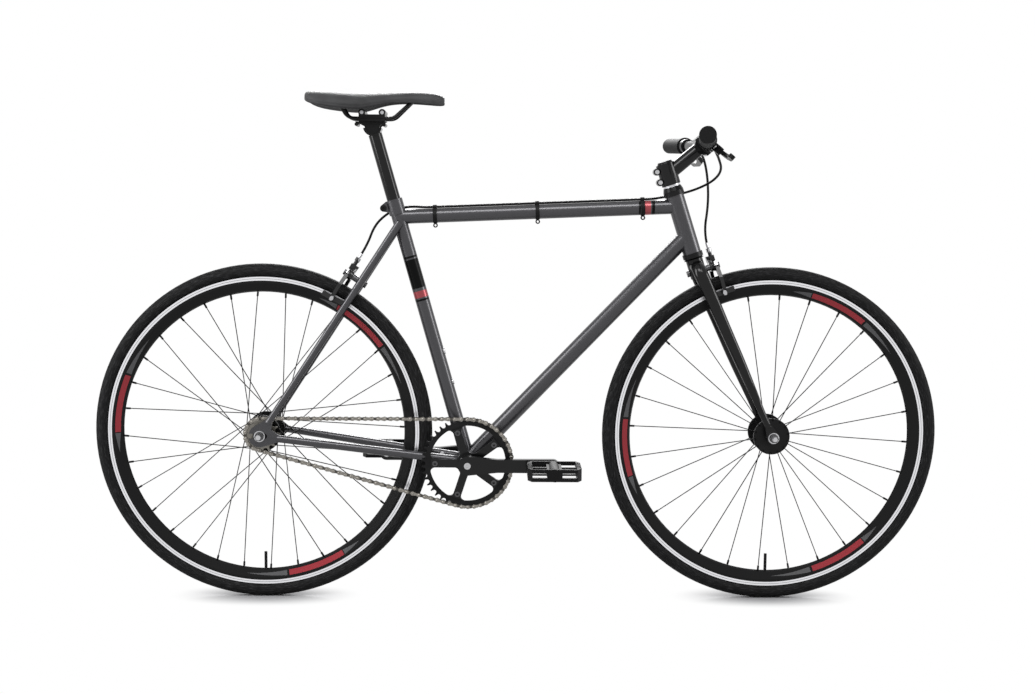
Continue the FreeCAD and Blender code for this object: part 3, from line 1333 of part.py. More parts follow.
def drive():
    heading = math.atan2(chain_ahead.z, chain_ahead.x)
    face_in = -chain_line + sprocket_thickness / 2
    face_out = -chain_line - sprocket_thickness / 2
    spots = [bottom_bracket + (ahead * math.cos(a) + up * math.sin(a)) * bolt_circle_radius
             for a in spider_angles()]
    holes = [disc(spot, face_out - 2 * spider_thickness, face_in + cut_overrun, chainring_bolt_radius)
             for spot in spots]
    windows = spider_windows(face_out - 2 * spider_thickness, face_in + cut_overrun)
    middle = disc(bottom_bracket, face_out - cut_overrun, face_in + cut_overrun,
                  bolt_circle_radius - bolt_lobe_radius)
    ring = sprocket(chainring_teeth, bottom_bracket, heading)
    save("chainring", ring.cut([middle] + windows + holes))

    plate = disc(bottom_bracket, face_out - spider_thickness, face_out,
                 bolt_circle_radius + bolt_lobe_radius)
    spider = plate.cut(windows)
    hub_high = crank_inner_face + crank_thickness
    core = disc(bottom_bracket, face_out, -hub_high, crank_hub_radius)
    arm_circles = ((0, 0, crank_hub_radius), (crank_length * crank_waist_share, 0, crank_waist_radius),
                   (crank_length, 0, crank_end_radius))
    arm = tangent_plate(arm_circles, crank_inner_face, hub_high)
    taper = spindle_taper(-1)
    right_arm = placed(arm, bottom_bracket, ahead, -across)
    right_end = bottom_bracket + ahead * crank_length
    bolt_room = disc(bottom_bracket, -hub_high - cut_overrun, -hub_high + crank_bolt_head,
                     crank_bolt_head_radius)
    bolt_way = disc(bottom_bracket, -hub_high - cut_overrun, face_out, crank_bolt_radius)
    axle_hole = disc(right_end, -hub_high - cut_overrun, -crank_inner_face + cut_overrun,
                     pedal_thread_radius)
    right = joined([core, right_arm, spider]).cut(holes + [taper, bolt_room, bolt_way, axle_hole])
    left_arm = placed(arm, bottom_bracket, -ahead, across)
    left_core = disc(bottom_bracket, crank_inner_face - spider_thickness, hub_high, crank_hub_radius)
    left_end = bottom_bracket - ahead * crank_length
    left_cuts = [spindle_taper(1), mirrored(bolt_room), mirrored(bolt_way),
                 disc(left_end, crank_inner_face - cut_overrun, hub_high + cut_overrun,
                      pedal_thread_radius)]
    left = joined([left_core, left_arm]).cut(left_cuts)
    save("crank_right", right)
    save("crank_left", left)

    bolts = []
    out_face = face_out - spider_thickness
    for spot in spots:
        body = joined([disc(spot, out_face, face_in, chainring_bolt_radius),
                       disc(spot, out_face - chainring_bolt_head, out_face, chainring_bolt_head_radius),
                       disc(spot, face_in, face_in + chainring_bolt_head, chainring_bolt_head_radius)])
        socket = disc(spot, out_face - chainring_bolt_head - cut_overrun, face_in - chainring_bolt_head,
                      chainring_bolt_socket_radius)
        bolts.append(body.cut(socket))
    save("chainring_bolts", *bolts)

    square = joined([disc(bottom_bracket, -spindle_shoulder(), spindle_shoulder(), spindle_radius),
                     spindle_taper(1), spindle_taper(-1)])
    bolt_pieces = []
    for s in (1, -1):
        top = hub_high - crank_bolt_head
        tip = spindle_tip()
        head = disc(bottom_bracket, s * top, s * hub_high, crank_bolt_head_radius)
        shank = disc(bottom_bracket, s * tip, s * top, crank_bolt_radius)
        socket_low = bottom_bracket + across * (s * (top + crank_bolt_head / 2))
        socket = prism(ring_points(socket_low, ahead, up, crank_bolt_socket_radius, 6),
                       across * (s * crank_bolt_head))
        bolt_pieces.append(joined([head, shank]).cut(socket))
    save("bottom_bracket_spindle", square, *bolt_pieces)


def spindle_shoulder():
    return bottom_bracket_shell_width / 2 + bottom_bracket_cup_flange + bottom_bracket_cup_flange / 2


def spindle_tip():
    return crank_inner_face + crank_thickness - 2 * crank_bolt_head


def spindle_taper(side):
    def square(half, place):
        corners = [bottom_bracket + ahead * (half * a) + up * (half * b) + across * (side * place)
                   for a, b in ((1, 1), (-1, 1), (-1, -1), (1, -1))]
        return Part.makePolygon(corners + [corners[0]])

    return Part.makeLoft([square(spindle_square_half, spindle_shoulder()),
                          square(spindle_square_tip_half, spindle_tip())], True, True)


def bottom_bracket_bearings():
    cups = []
    bearings = []
    edge = bottom_bracket_shell_width / 2
    for s in (1, -1):
        flange = disc(bottom_bracket, s * edge, s * (edge + bottom_bracket_cup_flange),
                      bottom_bracket_shell_radius)
        insert = disc(bottom_bracket, s * (edge - bottom_bracket_cup_depth), s * edge,
                      bottom_bracket_bore_radius)
        way = disc(bottom_bracket, s * (edge - bottom_bracket_cup_depth - cut_overrun),
                   s * (edge + 2 * bottom_bracket_cup_flange), spindle_radius + touch_gap)
        inside = edge - bottom_bracket_cup_depth
        pocket = disc(bottom_bracket, s * (inside - cut_overrun),
                      s * (inside + bottom_bracket_bearing_width), bottom_bracket_bearing_radius)
        cups.append(joined([flange, insert]).cut([way, pocket]))
        bearings.append(hollow_rod(bottom_bracket + across * (s * inside),
                                   bottom_bracket
                                   + across * (s * (inside + bottom_bracket_bearing_width)),
                                   bottom_bracket_bearing_radius, spindle_radius + running_gap))
    save("bottom_bracket_cups", *cups, *bearings)


def rear_cog():
    heading = math.atan2(chain_ahead.z, chain_ahead.x) + math.pi
    cog = sprocket(cog_teeth, rear_axle_centre, heading)
    cog = cog.cut(disc(rear_axle_centre, -2 * chain_line, 0, cog_bore_radius))
    lock_in = -cog_boss_end
    lock_out = lock_in - lockring_width
    ring = disc(rear_axle_centre, lock_in, lock_out, lockring_radius)
    ring = ring.cut(disc(rear_axle_centre, lock_in + cut_overrun, lock_out - cut_overrun,
                         lockring_bore_radius))
    save("rear_cog", cog, ring)


def pedals():
    inner = crank_inner_face + crank_thickness + pedal_shoulder + touch_gap
    axles = []
    for s, name in ((-1, "pedal_right"), (1, "pedal_left")):
        centre = bottom_bracket - ahead * (s * crank_length)
        start = s * crank_inner_face
        outer = s * (inner + pedal_width)
        axle_end = s * (inner + pedal_width - pedal_cap)
        shoulder = s * (crank_inner_face + crank_thickness)
        axles.append(joined([disc(centre, start, shoulder, pedal_thread_radius),
                             disc(centre, shoulder, s * (inner - touch_gap), pedal_shoulder_radius),
                             disc(centre, shoulder, axle_end, pedal_axle_radius)]))
        half = pedal_length / 2
        body_half = half - pedal_nose / 2
        place = centre + across * (s * inner)
        width = pedal_width
        outline = [(-half, pedal_nose), (-body_half, 0), (body_half, 0), (half, pedal_nose),
                   (half, width - pedal_nose), (body_half, width), (-body_half, width),
                   (-half, width - pedal_nose)]
        block = prism([place + ahead * x + across * (s * y) - up * (pedal_height / 2)
                       for x, y in outline], up * pedal_height)
        windows = []
        for sign in (1, -1):
            x_low = sign * (pedal_barrel_radius + pedal_cross_bar / 4)
            x_high = sign * (half - pedal_rail)
            for y_low, y_high in ((pedal_rail, width / 2 - pedal_cross_bar / 2),
                                  (width / 2 + pedal_cross_bar / 2, width - pedal_rail)):
                corners = [(x_low, y_low), (x_high, y_low), (x_high, y_high), (x_low, y_high)]
                windows.append(prism([place + ahead * x + across * (s * y) - up * pedal_height
                                      for x, y in corners], up * (2 * pedal_height)))
            sill = up * (pedal_side_window_height / 2)
            mouth = [place + ahead * x - across * (s * cut_overrun) + sill * z
                     for x, z in ((x_low, -1), (x_high, -1), (x_high, 1), (x_low, 1))]
            windows.append(prism(mouth, across * (s * (width + 2 * cut_overrun))))
        hollow = pedal_height / 2 - pedal_barrel_radius / 2
        for face in (1, -1):
            steps = int((width - 2 * pedal_nose) / pedal_tooth_pitch)
            for edge in (1, -1):
                for index in range(steps):
                    y = pedal_nose + pedal_tooth_pitch * (index + 0.25)
                    y_end = y + pedal_tooth_pitch / 2
                    x_in = edge * (half - pedal_rail - cut_overrun)
                    x_out = edge * (half + cut_overrun)
                    z = face * (pedal_height / 2 - pedal_tooth_depth)
                    corners = [(x_in, y), (x_out, y), (x_out, y_end), (x_in, y_end)]
                    windows.append(prism([place + ahead * x + across * (s * v) + up * z
                                          for x, v in corners],
                                         up * (face * (pedal_tooth_depth + cut_overrun))))
            dish = [(-half + pedal_rail, pedal_rail / 2), (half - pedal_rail, pedal_rail / 2),
                    (half - pedal_rail, width - pedal_rail / 2),
                    (-half + pedal_rail, width - pedal_rail / 2)]
            windows.append(prism([place + ahead * x + across * (s * y)
                                  + up * (face * (pedal_height / 2 - pedal_tooth_depth))
                                  for x, y in dish], up * (face * hollow)))
        barrel = disc(centre, s * inner, outer, pedal_barrel_radius)
        bore = disc(centre, s * (inner - cut_overrun), axle_end + s * touch_gap,
                    pedal_axle_radius + running_gap)
        save(name, joined([block.cut(windows), barrel]).cut(bore))
    save("pedal_axles", *axles)


def chain():
    ring_radius = pitch_radius(chainring_teeth)
    cog_radius = pitch_radius(cog_teeth)
    ring_half = chainring_engaged_pitches * math.pi / chainring_teeth
    cog_half = cog_engaged_pitches * math.pi / cog_teeth
    line = across * -chain_line

    def on_ring(angle):
        return bottom_bracket + line + (chain_ahead * math.cos(angle)
                                        + chain_up * math.sin(angle)) * ring_radius

    def on_cog(angle):
        return rear_axle_centre + line + (chain_up * math.sin(angle)
                                          - chain_ahead * math.cos(angle)) * cog_radius

    rollers = [on_ring(-ring_half + 2 * math.pi / chainring_teeth * i)
               for i in range(chainring_engaged_pitches + 1)]
    cog_spots = [on_cog(cog_half - 2 * math.pi / cog_teeth * i) for i in range(cog_engaged_pitches + 1)]
    for start, end, tail in ((rollers[-1], cog_spots[0], cog_spots), (cog_spots[-1], rollers[0], [])):
        run = end - start
        rollers += [start + run * (i / straight_run_pitches) for i in range(1, straight_run_pitches)]
        rollers += tail

    def plate(low, high):
        outline = [(-link_end_reach, -link_end_half_height), (0, -link_half_height),
                   (chain_pitch, -link_half_height),
                   (chain_pitch + link_end_reach, -link_end_half_height),
                   (chain_pitch + link_end_reach, link_end_half_height), (chain_pitch, link_half_height),
                   (0, link_half_height), (-link_end_reach, link_end_half_height)]
        return prism([Vector(x, y, low) for x, y in outline], Vector(0, 0, high - low))

    inner_low = chain_inner_width / 2
    inner_high = inner_low + chain_plate
    outer_low = inner_high + chain_plate_gap
    outer_high = outer_low + chain_plate
    bush = [prism(ring_points(Vector(x, 0, -inner_low), ahead, across, roller_radius, roller_sides),
                  up * (2 * inner_low))
            for x in (0, chain_pitch)]
    inner_link = joined([plate(inner_low, inner_high), plate(-inner_high, -inner_low)] + bush)
    outer_link = Part.makeCompound([plate(outer_low, outer_high), plate(-outer_high, -outer_low)])
    inner_links = []
    outer_links = []
    for index, roller in enumerate(rollers):
        after = rollers[(index + 1) % len(rollers)]
        link = placed(outer_link if index % 2 else inner_link, roller, after - roller, across)
        (outer_links if index % 2 else inner_links).append(link)
    print("chain links", len(rollers))
    save("chain_inner_links", *inner_links)
    save("chain_outer_links", *outer_links)


# Seat
def seatpost():
    low = seat_point(0, 0, seat_tube_length - seatpost_insertion)
    high = tilt_axis - seat_up * (clamp_round_radius + seatpost_wall)
    tube = rod(low, high, seatpost_radius)
    reach = across * (2 * post_head_half_width)
    wide = across * post_head_half_width
    cradle = rod(tilt_axis - wide, tilt_axis + wide, post_head_radius)
    head = cradle.common(slab(tilt_axis, ahead, up,
                              (-post_head_radius, -post_head_half_width, -post_head_depth),
                              (post_head_radius, post_head_half_width, -post_head_top)))
    seat = rod(tilt_axis - reach, tilt_axis + reach, clamp_round_radius + running_gap)
    hollow = rod(low - seat_up * cut_overrun, high - seat_up * post_head_depth,
                 seatpost_radius - seatpost_wall)
    save("seatpost", joined([tube, head]).cut([seat, hollow]))


def rail_paths():
    def at(x, y, z):
        return tilt_axis + ahead * x + across * y + up * z

    return [[at(rail_rear_place[0], s * rail_rear_place[1], rail_rear_place[2]),
             at(rail_rear_bend_place[0], s * rail_rear_bend_place[1], rail_height),
             at(rail_front_bend_place[0], s * rail_front_bend_place[1], rail_height),
             at(rail_front_place[0], s * rail_front_place[1], rail_front_place[2])] for s in (1, -1)]


def rail_clamp(rails):
    half_round = across * clamp_round_half_width
    rail_plane = rail_height
    low_plate = slab(tilt_axis, ahead, up,
                     (-clamp_half_length, -clamp_half_width, rail_plane - clamp_low_plate),
                     (clamp_half_length, clamp_half_width, rail_plane - touch_gap))
    round_part = rod(tilt_axis - half_round, tilt_axis + half_round, clamp_round_radius)
    high_plate = slab(tilt_axis, ahead, up,
                      (-clamp_half_length, -clamp_half_width, rail_plane + touch_gap),
                      (clamp_half_length, clamp_half_width, rail_plane + clamp_high_plate))
    bolts = []
    ways = []
    for sign in (1, -1):
        base = tilt_axis + ahead * (sign * clamp_bolt_offset)
        foot = base + up * (rail_plane - clamp_low_plate)
        top = base + up * (rail_plane + clamp_high_plate)
        ways.append(rod(foot - up * cut_overrun, top + up * cut_overrun, clamp_bolt_radius))
        bolts.append(joined([rod(foot, top, clamp_bolt_radius),
                             rod(top, top + up * clamp_bolt_head, clamp_bolt_head_radius)]))
    low = joined([low_plate, round_part]).cut(rails + ways)
    high = high_plate.cut(rails + ways)
    save("rail_clamp", low, high, *bolts)


def saddle():
    rails = [bent_rod(path, rail_radius, rail_bend_radius) for path in rail_paths()]
    tail = tilt_axis - ahead * saddle_tail_reach + up * saddle_bottom
    wires = []
    for along, half_share, top, shoulder, side, skirt, under in saddle_section_shares:
        half = half_share * saddle_width
        base = tail + ahead * (along * saddle_length)

        def spot(y_share, z_share):
            return base + across * (half * y_share) + up * (saddle_height * z_share)

        edges = (
            Part.Arc(spot(saddle_shoulder_share, shoulder), spot(0, top),
                     spot(-saddle_shoulder_share, shoulder)),
            Part.Arc(spot(-saddle_shoulder_share, shoulder), spot(-1, side),
                     spot(-saddle_skirt_share, skirt)),
            Part.Arc(spot(-saddle_skirt_share, skirt), spot(0, under), spot(saddle_skirt_share, skirt)),
            Part.Arc(spot(saddle_skirt_share, skirt), spot(1, side),
                     spot(saddle_shoulder_share, shoulder)),
        )
        wires.append(Part.Wire([edge.toShape() for edge in edges]))
    pad = Part.makeLoft(wires, True, False)
    save("saddle", pad.cut(rails))
    save("saddle_rails", *rails)
    rail_clamp(rails)


os.makedirs("parts", exist_ok=True)
seat_outer, shell_outer = frame_tubes()
binder_bolt()
bottle_bosses()
rear_triangle(seat_outer, shell_outer)
headset()
fork()
headset_top()
stem()
handlebar()
levers()
for is_front, side_name in ((True, "front"), (False, "rear")):
    brake_arms(is_front, side_name)
    brake_bolt(is_front, side_name)
housings()
cable_clips()
for axle_centre, side_name in ((front_axle_centre, "front"), (rear_axle_centre, "rear")):
    tyre(axle_centre, side_name)
    rim(axle_centre, side_name)
front_lines = spoke_lines(front_axle_centre, front_spokes_count, front_flange_offset, 0, front_spoke_turn)
rear_lines = spoke_lines(rear_axle_centre, rear_spokes_count, rear_flange_offset, rear_spoke_crosses,
                         rear_spoke_turn)
save("front_spokes", *spokes(front_lines))
save("rear_spokes", *spokes(rear_lines))
hub(front_axle_centre, "front", front_hub_spacing, front_flange_offset, front_hub_radius,
    front_axle_radius,
    False, front_lines)
hub(rear_axle_centre, "rear", rear_hub_spacing, rear_flange_offset, rear_hub_radius, rear_axle_radius,
    True, rear_lines)
axle(front_axle_centre, "front", front_hub_spacing, fork_tip_thickness, front_axle_radius)
axle(rear_axle_centre, "rear", rear_hub_spacing, dropout_thickness, rear_axle_radius)
drive()
bottom_bracket_bearings()
rear_cog()
pedals()
chain()
seatpost()
saddle()
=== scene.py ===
import math

import bpy
from mathutils import Matrix, Vector


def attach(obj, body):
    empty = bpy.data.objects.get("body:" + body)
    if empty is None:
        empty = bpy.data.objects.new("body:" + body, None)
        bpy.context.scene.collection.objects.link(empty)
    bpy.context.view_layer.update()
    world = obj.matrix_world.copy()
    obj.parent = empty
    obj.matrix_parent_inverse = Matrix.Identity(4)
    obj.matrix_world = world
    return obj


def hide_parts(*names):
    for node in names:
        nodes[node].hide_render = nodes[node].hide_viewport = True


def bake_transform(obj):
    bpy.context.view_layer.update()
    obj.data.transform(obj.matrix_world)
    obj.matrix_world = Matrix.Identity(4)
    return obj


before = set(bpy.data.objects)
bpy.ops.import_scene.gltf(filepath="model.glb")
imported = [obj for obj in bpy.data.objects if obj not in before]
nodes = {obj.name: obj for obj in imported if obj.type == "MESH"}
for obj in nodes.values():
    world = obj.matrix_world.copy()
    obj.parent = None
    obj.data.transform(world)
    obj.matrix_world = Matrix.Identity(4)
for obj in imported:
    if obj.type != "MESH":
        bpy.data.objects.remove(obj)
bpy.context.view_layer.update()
print("frame loaded:", len(nodes), "nodes")

# Bicycle layout in metres, the same as the CAD part
bike = {
    "rearAxle": Vector((-0.511, 0, 0.339)),
    "frontAxle": Vector((0.511, 0, 0.339)),
    "bracket": Vector((-0.099541, 0, 0.283)),
    "headAngle": math.radians(72),
    "seatAngle": math.radians(74),
    "rake": 0.042,
}
steerUp = Vector((-math.cos(bike["headAngle"]), 0, math.sin(bike["headAngle"])))
steerOut = Vector((math.sin(bike["headAngle"]), 0, math.cos(bike["headAngle"])))
steerFoot = bike["frontAxle"] - steerOut * bike["rake"]
seatUp = Vector((-math.cos(bike["seatAngle"]), 0, math.sin(bike["seatAngle"])))
ahead, across, upward = Vector((1, 0, 0)), Vector((0, 1, 0)), Vector((0, 0, 1))


class Wire:  # a shader socket that takes part in sums
    def __init__(self, shade, socket):
        self.shade, self.socket = shade, socket

    def maths(self, operation, *values):
        return self.shade.add("ShaderNodeMath", {"operation": operation}, dict(enumerate(values)))

    def __add__(self, other):
        return self.maths("ADD", self, other)

    def __radd__(self, other):
        return self.maths("ADD", other, self)

    def __sub__(self, other):
        return self.maths("SUBTRACT", self, other)

    def __rsub__(self, other):
        return self.maths("SUBTRACT", other, self)

    def __mul__(self, other):
        return self.maths("MULTIPLY", self, other)

    def __rmul__(self, other):
        return self.maths("MULTIPLY", other, self)

    def __truediv__(self, other):
        return self.maths("DIVIDE", self, other)

    def __gt__(self, other):
        return self.maths("GREATER_THAN", self, other)

    def __lt__(self, other):
        return self.maths("LESS_THAN", self, other)

    def __pow__(self, other):
        return self.maths("POWER", self, other)

    def __mod__(self, other):
        return self.maths("FLOORED_MODULO", self, other)

    def most(self, other):
        return self.maths("MAXIMUM", self, other)

    def size(self):
        return self.maths("ABSOLUTE", self)

    def sine(self):
        return self.maths("SINE", self)

    def hypot(self, other):
        return (self * self + other * other) ** 0.5

    def between(self, low, high):
        return (self > low) * (self < high)

    def span(self, low, high):  # low at 0, high at 1
        return self * (high - low) + low

    def fade(self, low, high):  # 0 at low, 1 at high
        settings = {"interpolation_type": "SMOOTHSTEP"}
        return self.shade.add("ShaderNodeMapRange", settings, {0: self, 1: low, 2: high, 3: 0.0, 4: 1.0})


class Nodes:  # a node tree, filled through one method
    def __init__(self, tree):
        self.tree = tree
        tree.nodes.clear()

    def add(self, kind, settings, inputs, out=0):
        node = self.tree.nodes.new(kind)
        for key, value in settings.items():
            setattr(node, key, value)
        for key, value in inputs.items():
            self.plug(node.inputs[key], value)
        return Wire(self, node.outputs[out]) if node.outputs else node

    def plug(self, socket, value):
        if isinstance(value, Wire):
            self.tree.links.new(value.socket, socket)
        elif socket.type == "RGBA":
            socket.default_value = (*value, 1)
        else:
            socket.default_value = value

    def seenDirectly(self):  # 1 for the camera, mirrors and glass
        seen = [self.add("ShaderNodeLightPath", {}, {}, name)
                for name in ("Is Camera Ray", "Is Glossy Ray", "Is Transmission Ray")]
        return seen[0].most(seen[1]).most(seen[2])


class Finish(Nodes):  # one material
    def __init__(self, name, **settings):
        self.material = bpy.data.materials.new(name)
        self.material.use_nodes = True
        super().__init__(self.material.node_tree)
        self.body = self.tree.nodes.new("ShaderNodeBsdfPrincipled")
        self.out = self.add("ShaderNodeOutputMaterial", {}, {0: Wire(self, self.body.outputs[0])})
        self.set(**settings)

    def set(self, **settings):
        for key, value in settings.items():
            self.plug(self.body.inputs[key.replace("_", " ")], value)
        return self

    def place(self):
        return self.add("ShaderNodeTexCoord", {}, {}, "Object")

    def along(self, direction, origin=Vector((0, 0, 0))):  # distance along a direction
        settings = {"operation": "DOT_PRODUCT"}
        dot = self.add("ShaderNodeVectorMath", settings, {0: self.place(), 1: direction}, "Value")
        return dot - origin.dot(direction)

    def noise(self, scale, detail=2.0, spot=None):
        inputs = {"Vector": spot or self.place(), "Scale": scale, "Detail": detail}
        return self.add("ShaderNodeTexNoise", {}, inputs)

    def mix(self, factor, first, second):
        return self.add("ShaderNodeMix", {"data_type": "RGBA"}, {0: factor, 6: first, 7: second}, 2)

    def bump(self, height, distance, strength=1.0):
        inputs = {"Height": height, "Distance": distance, "Strength": strength}
        return self.set(Normal=self.add("ShaderNodeBump", {}, inputs))


def dress(finish, *names):
    for name in names:
        nodes[name].data.materials.clear()
        nodes[name].data.materials.append(finish.material)


def grey(tone):  # leans slightly to blue
    return (tone, tone, tone * 1.03)


fineGrain = 0.00002  # height of the finest bumps


# Frame paint with its stripes
paint = {
    "grey": (0.0285, 0.0280, 0.0310),
    "flake": (0.060, 0.059, 0.065),
    "flakeScale": 2600.0,
    "flakeFade": (0.36, 0.76),
    "flakeBump": 0.08,
    "coat": 0.4,
    "coatRough": 0.22,
    "glossFade": (0.2, 0.8),
    "shine": 0.5,
    "metal": 0.6,
    "blackMetal": 0.9,
    "roughScale": 9.0,
    "rough": (0.27, 0.33),
    "black": grey(0.004),
    "red": (0.27, 0.034, 0.043),
    "seatStripes": ((0.3625, 0.4215, "black"), (0.4245, 0.4285, "black"),
                    (0.3430, 0.3565, "red"), (0.3360, 0.3400, "black")),
    "topStripes": ((0.2490, 0.2625, "red"), (0.2648, 0.2705, "black"), (0.2385, 0.2425, "black")),
}


def framePaint(name, direction=None, origin=None, stripes=()):
    metal = paint["metal"]
    finish = Finish(name, Metallic=metal, Specular_IOR_Level=paint["shine"],
                    Coat_Roughness=paint["coatRough"])
    flakes = finish.noise(paint["flakeScale"], detail=1.0)
    colour = finish.mix(flakes.fade(*paint["flakeFade"]), paint["grey"], paint["flake"])
    facing = finish.add("ShaderNodeLayerWeight", {}, {"Blend": 0.5}, "Facing")
    gloss = (1 - facing.fade(*paint["glossFade"])) * paint["coat"]  # the lacquer dulls towards the edges
    if stripes:
        reach, dark = finish.along(direction, origin), 0.0
        for low, high, tint in stripes:
            stripe = reach.between(low, high)
            colour = finish.mix(stripe, colour, paint[tint])
            dark = stripe + dark if tint == "black" else dark
        gloss = gloss * (1 - dark)
        finish.set(Metallic=dark * (paint["blackMetal"] - metal) + metal)
    rough = finish.noise(paint["roughScale"], detail=3.0).span(*paint["rough"])
    finish.set(Base_Color=colour, Coat_Weight=gloss, Roughness=rough)
    return finish.bump(flakes, fineGrain, paint["flakeBump"])


dress(framePaint("greyFramePaint"), "head_tube", "down_tube", "bottom_bracket_shell", "chainstays",
      "seatstays", "rear_dropouts", "stay_bridges")
dress(framePaint("seatTubePaint", seatUp, bike["bracket"], paint["seatStripes"]), "seat_tube")
dress(framePaint("topTubePaint", ahead, Vector((0, 0, 0)), paint["topStripes"]), "top_tube")
print("frame painted")


# Plain finishes of the other pieces
lacquer = {"tones": (grey(0.003), grey(0.006)), "shine": 0.23, "wearScale": 14.0, "rough": (0.09, 0.15)}
alloy = {
    "tones": (grey(0.006), grey(0.012)),
    "shine": 0.14,
    "metal": 0.2,
    "wearScale": 24.0,
    "wearFade": (0.35, 0.75),
    "grainScale": 900.0,
    "grainBump": 0.2,
    "rough": (0.26, 0.38),
}
soft = {"shine": 0.09, "lighter": 1.7, "grainFade": (0.3, 0.8), "grainDepth": 0.00006, "grainBump": 0.4}


def glossBlack(name):
    finish = Finish(name, Specular_IOR_Level=lacquer["shine"])
    wear = finish.noise(lacquer["wearScale"], detail=3.0)
    return finish.set(Base_Color=finish.mix(wear, *lacquer["tones"]), Roughness=wear.span(*lacquer["rough"]))


def blackAlloy(name):
    finish = Finish(name, Metallic=alloy["metal"], Specular_IOR_Level=alloy["shine"])
    grain, wear = finish.noise(alloy["grainScale"]), finish.noise(alloy["wearScale"], detail=4.0)
    finish.set(Base_Color=finish.mix(wear.fade(*alloy["wearFade"]), *alloy["tones"]),
               Roughness=grain.span(*alloy["rough"]))
    return finish.bump(grain, fineGrain, alloy["grainBump"])


def steel(name, tone=(0.52, 0.52, 0.53), rough=0.22, scale=320.0, worn=(0.3, 0.8), darker=0.75, spread=0.16):
    finish = Finish(name, Metallic=1.0)
    grain = finish.noise(scale, detail=3.0)
    return finish.set(Base_Color=finish.mix(grain.fade(*worn), tone, tuple(c * darker for c in tone)),
                      Roughness=grain * spread + rough)


def rubber(name, tone=0.007, rough=0.60, scale=700.0, spread=0.14):
    finish = Finish(name, Specular_IOR_Level=soft["shine"])
    grain = finish.noise(scale, detail=3.0)
    tones = grey(tone), grey(tone * soft["lighter"])
    finish.set(Base_Color=finish.mix(grain.fade(*soft["grainFade"]), *tones),
               Roughness=grain * spread + rough)
    return finish.bump(grain, soft["grainDepth"], soft["grainBump"])


dress(glossBlack("glossForkBlack"), "fork_blades", "fork_steerer", "seatpost", "stem", "stem_faceplate",
      "handlebar", "crank_left", "crank_right")
dress(blackAlloy("blackAnodised"), "lever_brackets", "left_brake_lever", "right_brake_lever", "rail_clamp",
      "front_hub", "rear_hub", "headset_cups", "bottom_bracket_cups", "chainring", "seat_binder_bolt",
      "saddle_rails")
dress(steel("boltSteel"), "bottle_bosses", "bottom_bracket_spindle", "pedal_axles", "stem_bolts")
dress(steel("darkSteel", grey(0.09), rough=0.25), "front_brake_bolt", "rear_brake_bolt", "chainring_bolts")
dress(steel("spokeSteel", grey(0.008), rough=0.3), "front_spokes", "rear_spokes")
dress(steel("cogSteel", (0.20, 0.19, 0.17), rough=0.32), "rear_cog")
dress(rubber("gripRubber", tone=0.006), "grips")
dress(rubber("tubeRubber"), "front_inner_tube", "rear_inner_tube")
dress(rubber("pedalResin", tone=0.005, rough=0.40, scale=500.0), "pedal_left", "pedal_right", "cable_clips")

# Headset cover: black with one bright ring
headset = {
    "ring": (0.5374, 0.5413),
    "black": grey(0.006),
    "bright": grey(0.55),
    "shine": 0.14,
    "metal": (0.3, 1.0),
    "rough": 0.3,
}


def coverFinish():
    finish = Finish("headsetCover", Roughness=headset["rough"], Specular_IOR_Level=headset["shine"])
    ring = finish.along(steerUp, steerFoot).between(*headset["ring"])
    colour = finish.mix(ring, headset["black"], headset["bright"])
    return finish.set(Base_Color=colour, Metallic=ring.span(*headset["metal"]))


dress(coverFinish(), "headset_cover")

# Calipers: black arms with bright pad bolts and cable adjusters
calipers = {
    "tones": (grey(0.008), grey(0.016)),
    "grainScale": 700.0,
    "shine": 0.4,
    "metal": (0.2, 0.9),
    "rough": 0.17,
    "bright": grey(0.45),
    "brightReach": 0.0064,
    "front": {"padBolt": (0.4079, 0.0375, 0.6276), "adjuster": (0.3846, 0.0250, 0.7108)},
    "rear": {"padBolt": (-0.3685, 0.0375, 0.6104), "adjuster": (-0.3196, 0.0250, 0.6856)},
}


def caliperFinish(name, spots):
    finish = Finish(name, Specular_IOR_Level=calipers["shine"], Roughness=calipers["rough"])
    bright = 0.0
    for spot in spots:
        inputs = {0: finish.place(), 1: spot}
        gap = finish.add("ShaderNodeVectorMath", {"operation": "DISTANCE"}, inputs, "Value")
        bright = (gap < calipers["brightReach"]) + bright
    colour = finish.mix(finish.noise(calipers["grainScale"]), *calipers["tones"])
    return finish.set(Base_Color=finish.mix(bright, colour, calipers["bright"]),
                      Metallic=bright.span(*calipers["metal"]))


for wheelName in ("front", "rear"):
    x, y, z = calipers[wheelName]["padBolt"]
    leftSpots = ((x, y, z), calipers[wheelName]["adjuster"])
    dress(caliperFinish(wheelName + "CaliperLeft", leftSpots), wheelName + "_brake_arm_left")
    dress(caliperFinish(wheelName + "CaliperRight", ((x, -y, z),)), wheelName + "_brake_arm_right")

# Wheels: bright brake track, red stripes with grey tails on the rim, dark nuts on the axle
wheel = {
    "rimTones": (grey(0.005), grey(0.009)),
    "rimGrain": 600.0,
    "rimShine": 0.12,
    "rimMetal": (0.1, 0.95),
    "rimRough": (0.26, 0.34),
    "track": (0.3052, 0.3128),
    "trackSide": 0.0095,
    "trackTone": grey(0.76),
    "trackLine": (0.3086, 0.3094),
    "lineTone": grey(0.10),
    "turnedLines": 5200.0,
    "turnedBump": 0.4,
    "stripeMid": 0.2935,
    "stripeHalf": 0.0052,
    "stripeHalfTurn": 11.5,
    "frontStripes": (62.7, 185.7, 300.5),
    "rearStripes": (48.0, 169.0, 291.0),
    "red": (0.29, 0.034, 0.043),
    "longTail": 17.0,
    "shortTail": 8.0,
    "tailGap": 0.05,
    "tailTone": grey(0.09),
    "nut": (0.0052, 0.0088),
    "nutTone": grey(0.08),
    "stubTone": grey(0.5),
    "axleGrain": 320.0,
    "axleRough": (0.22, 0.38),
}

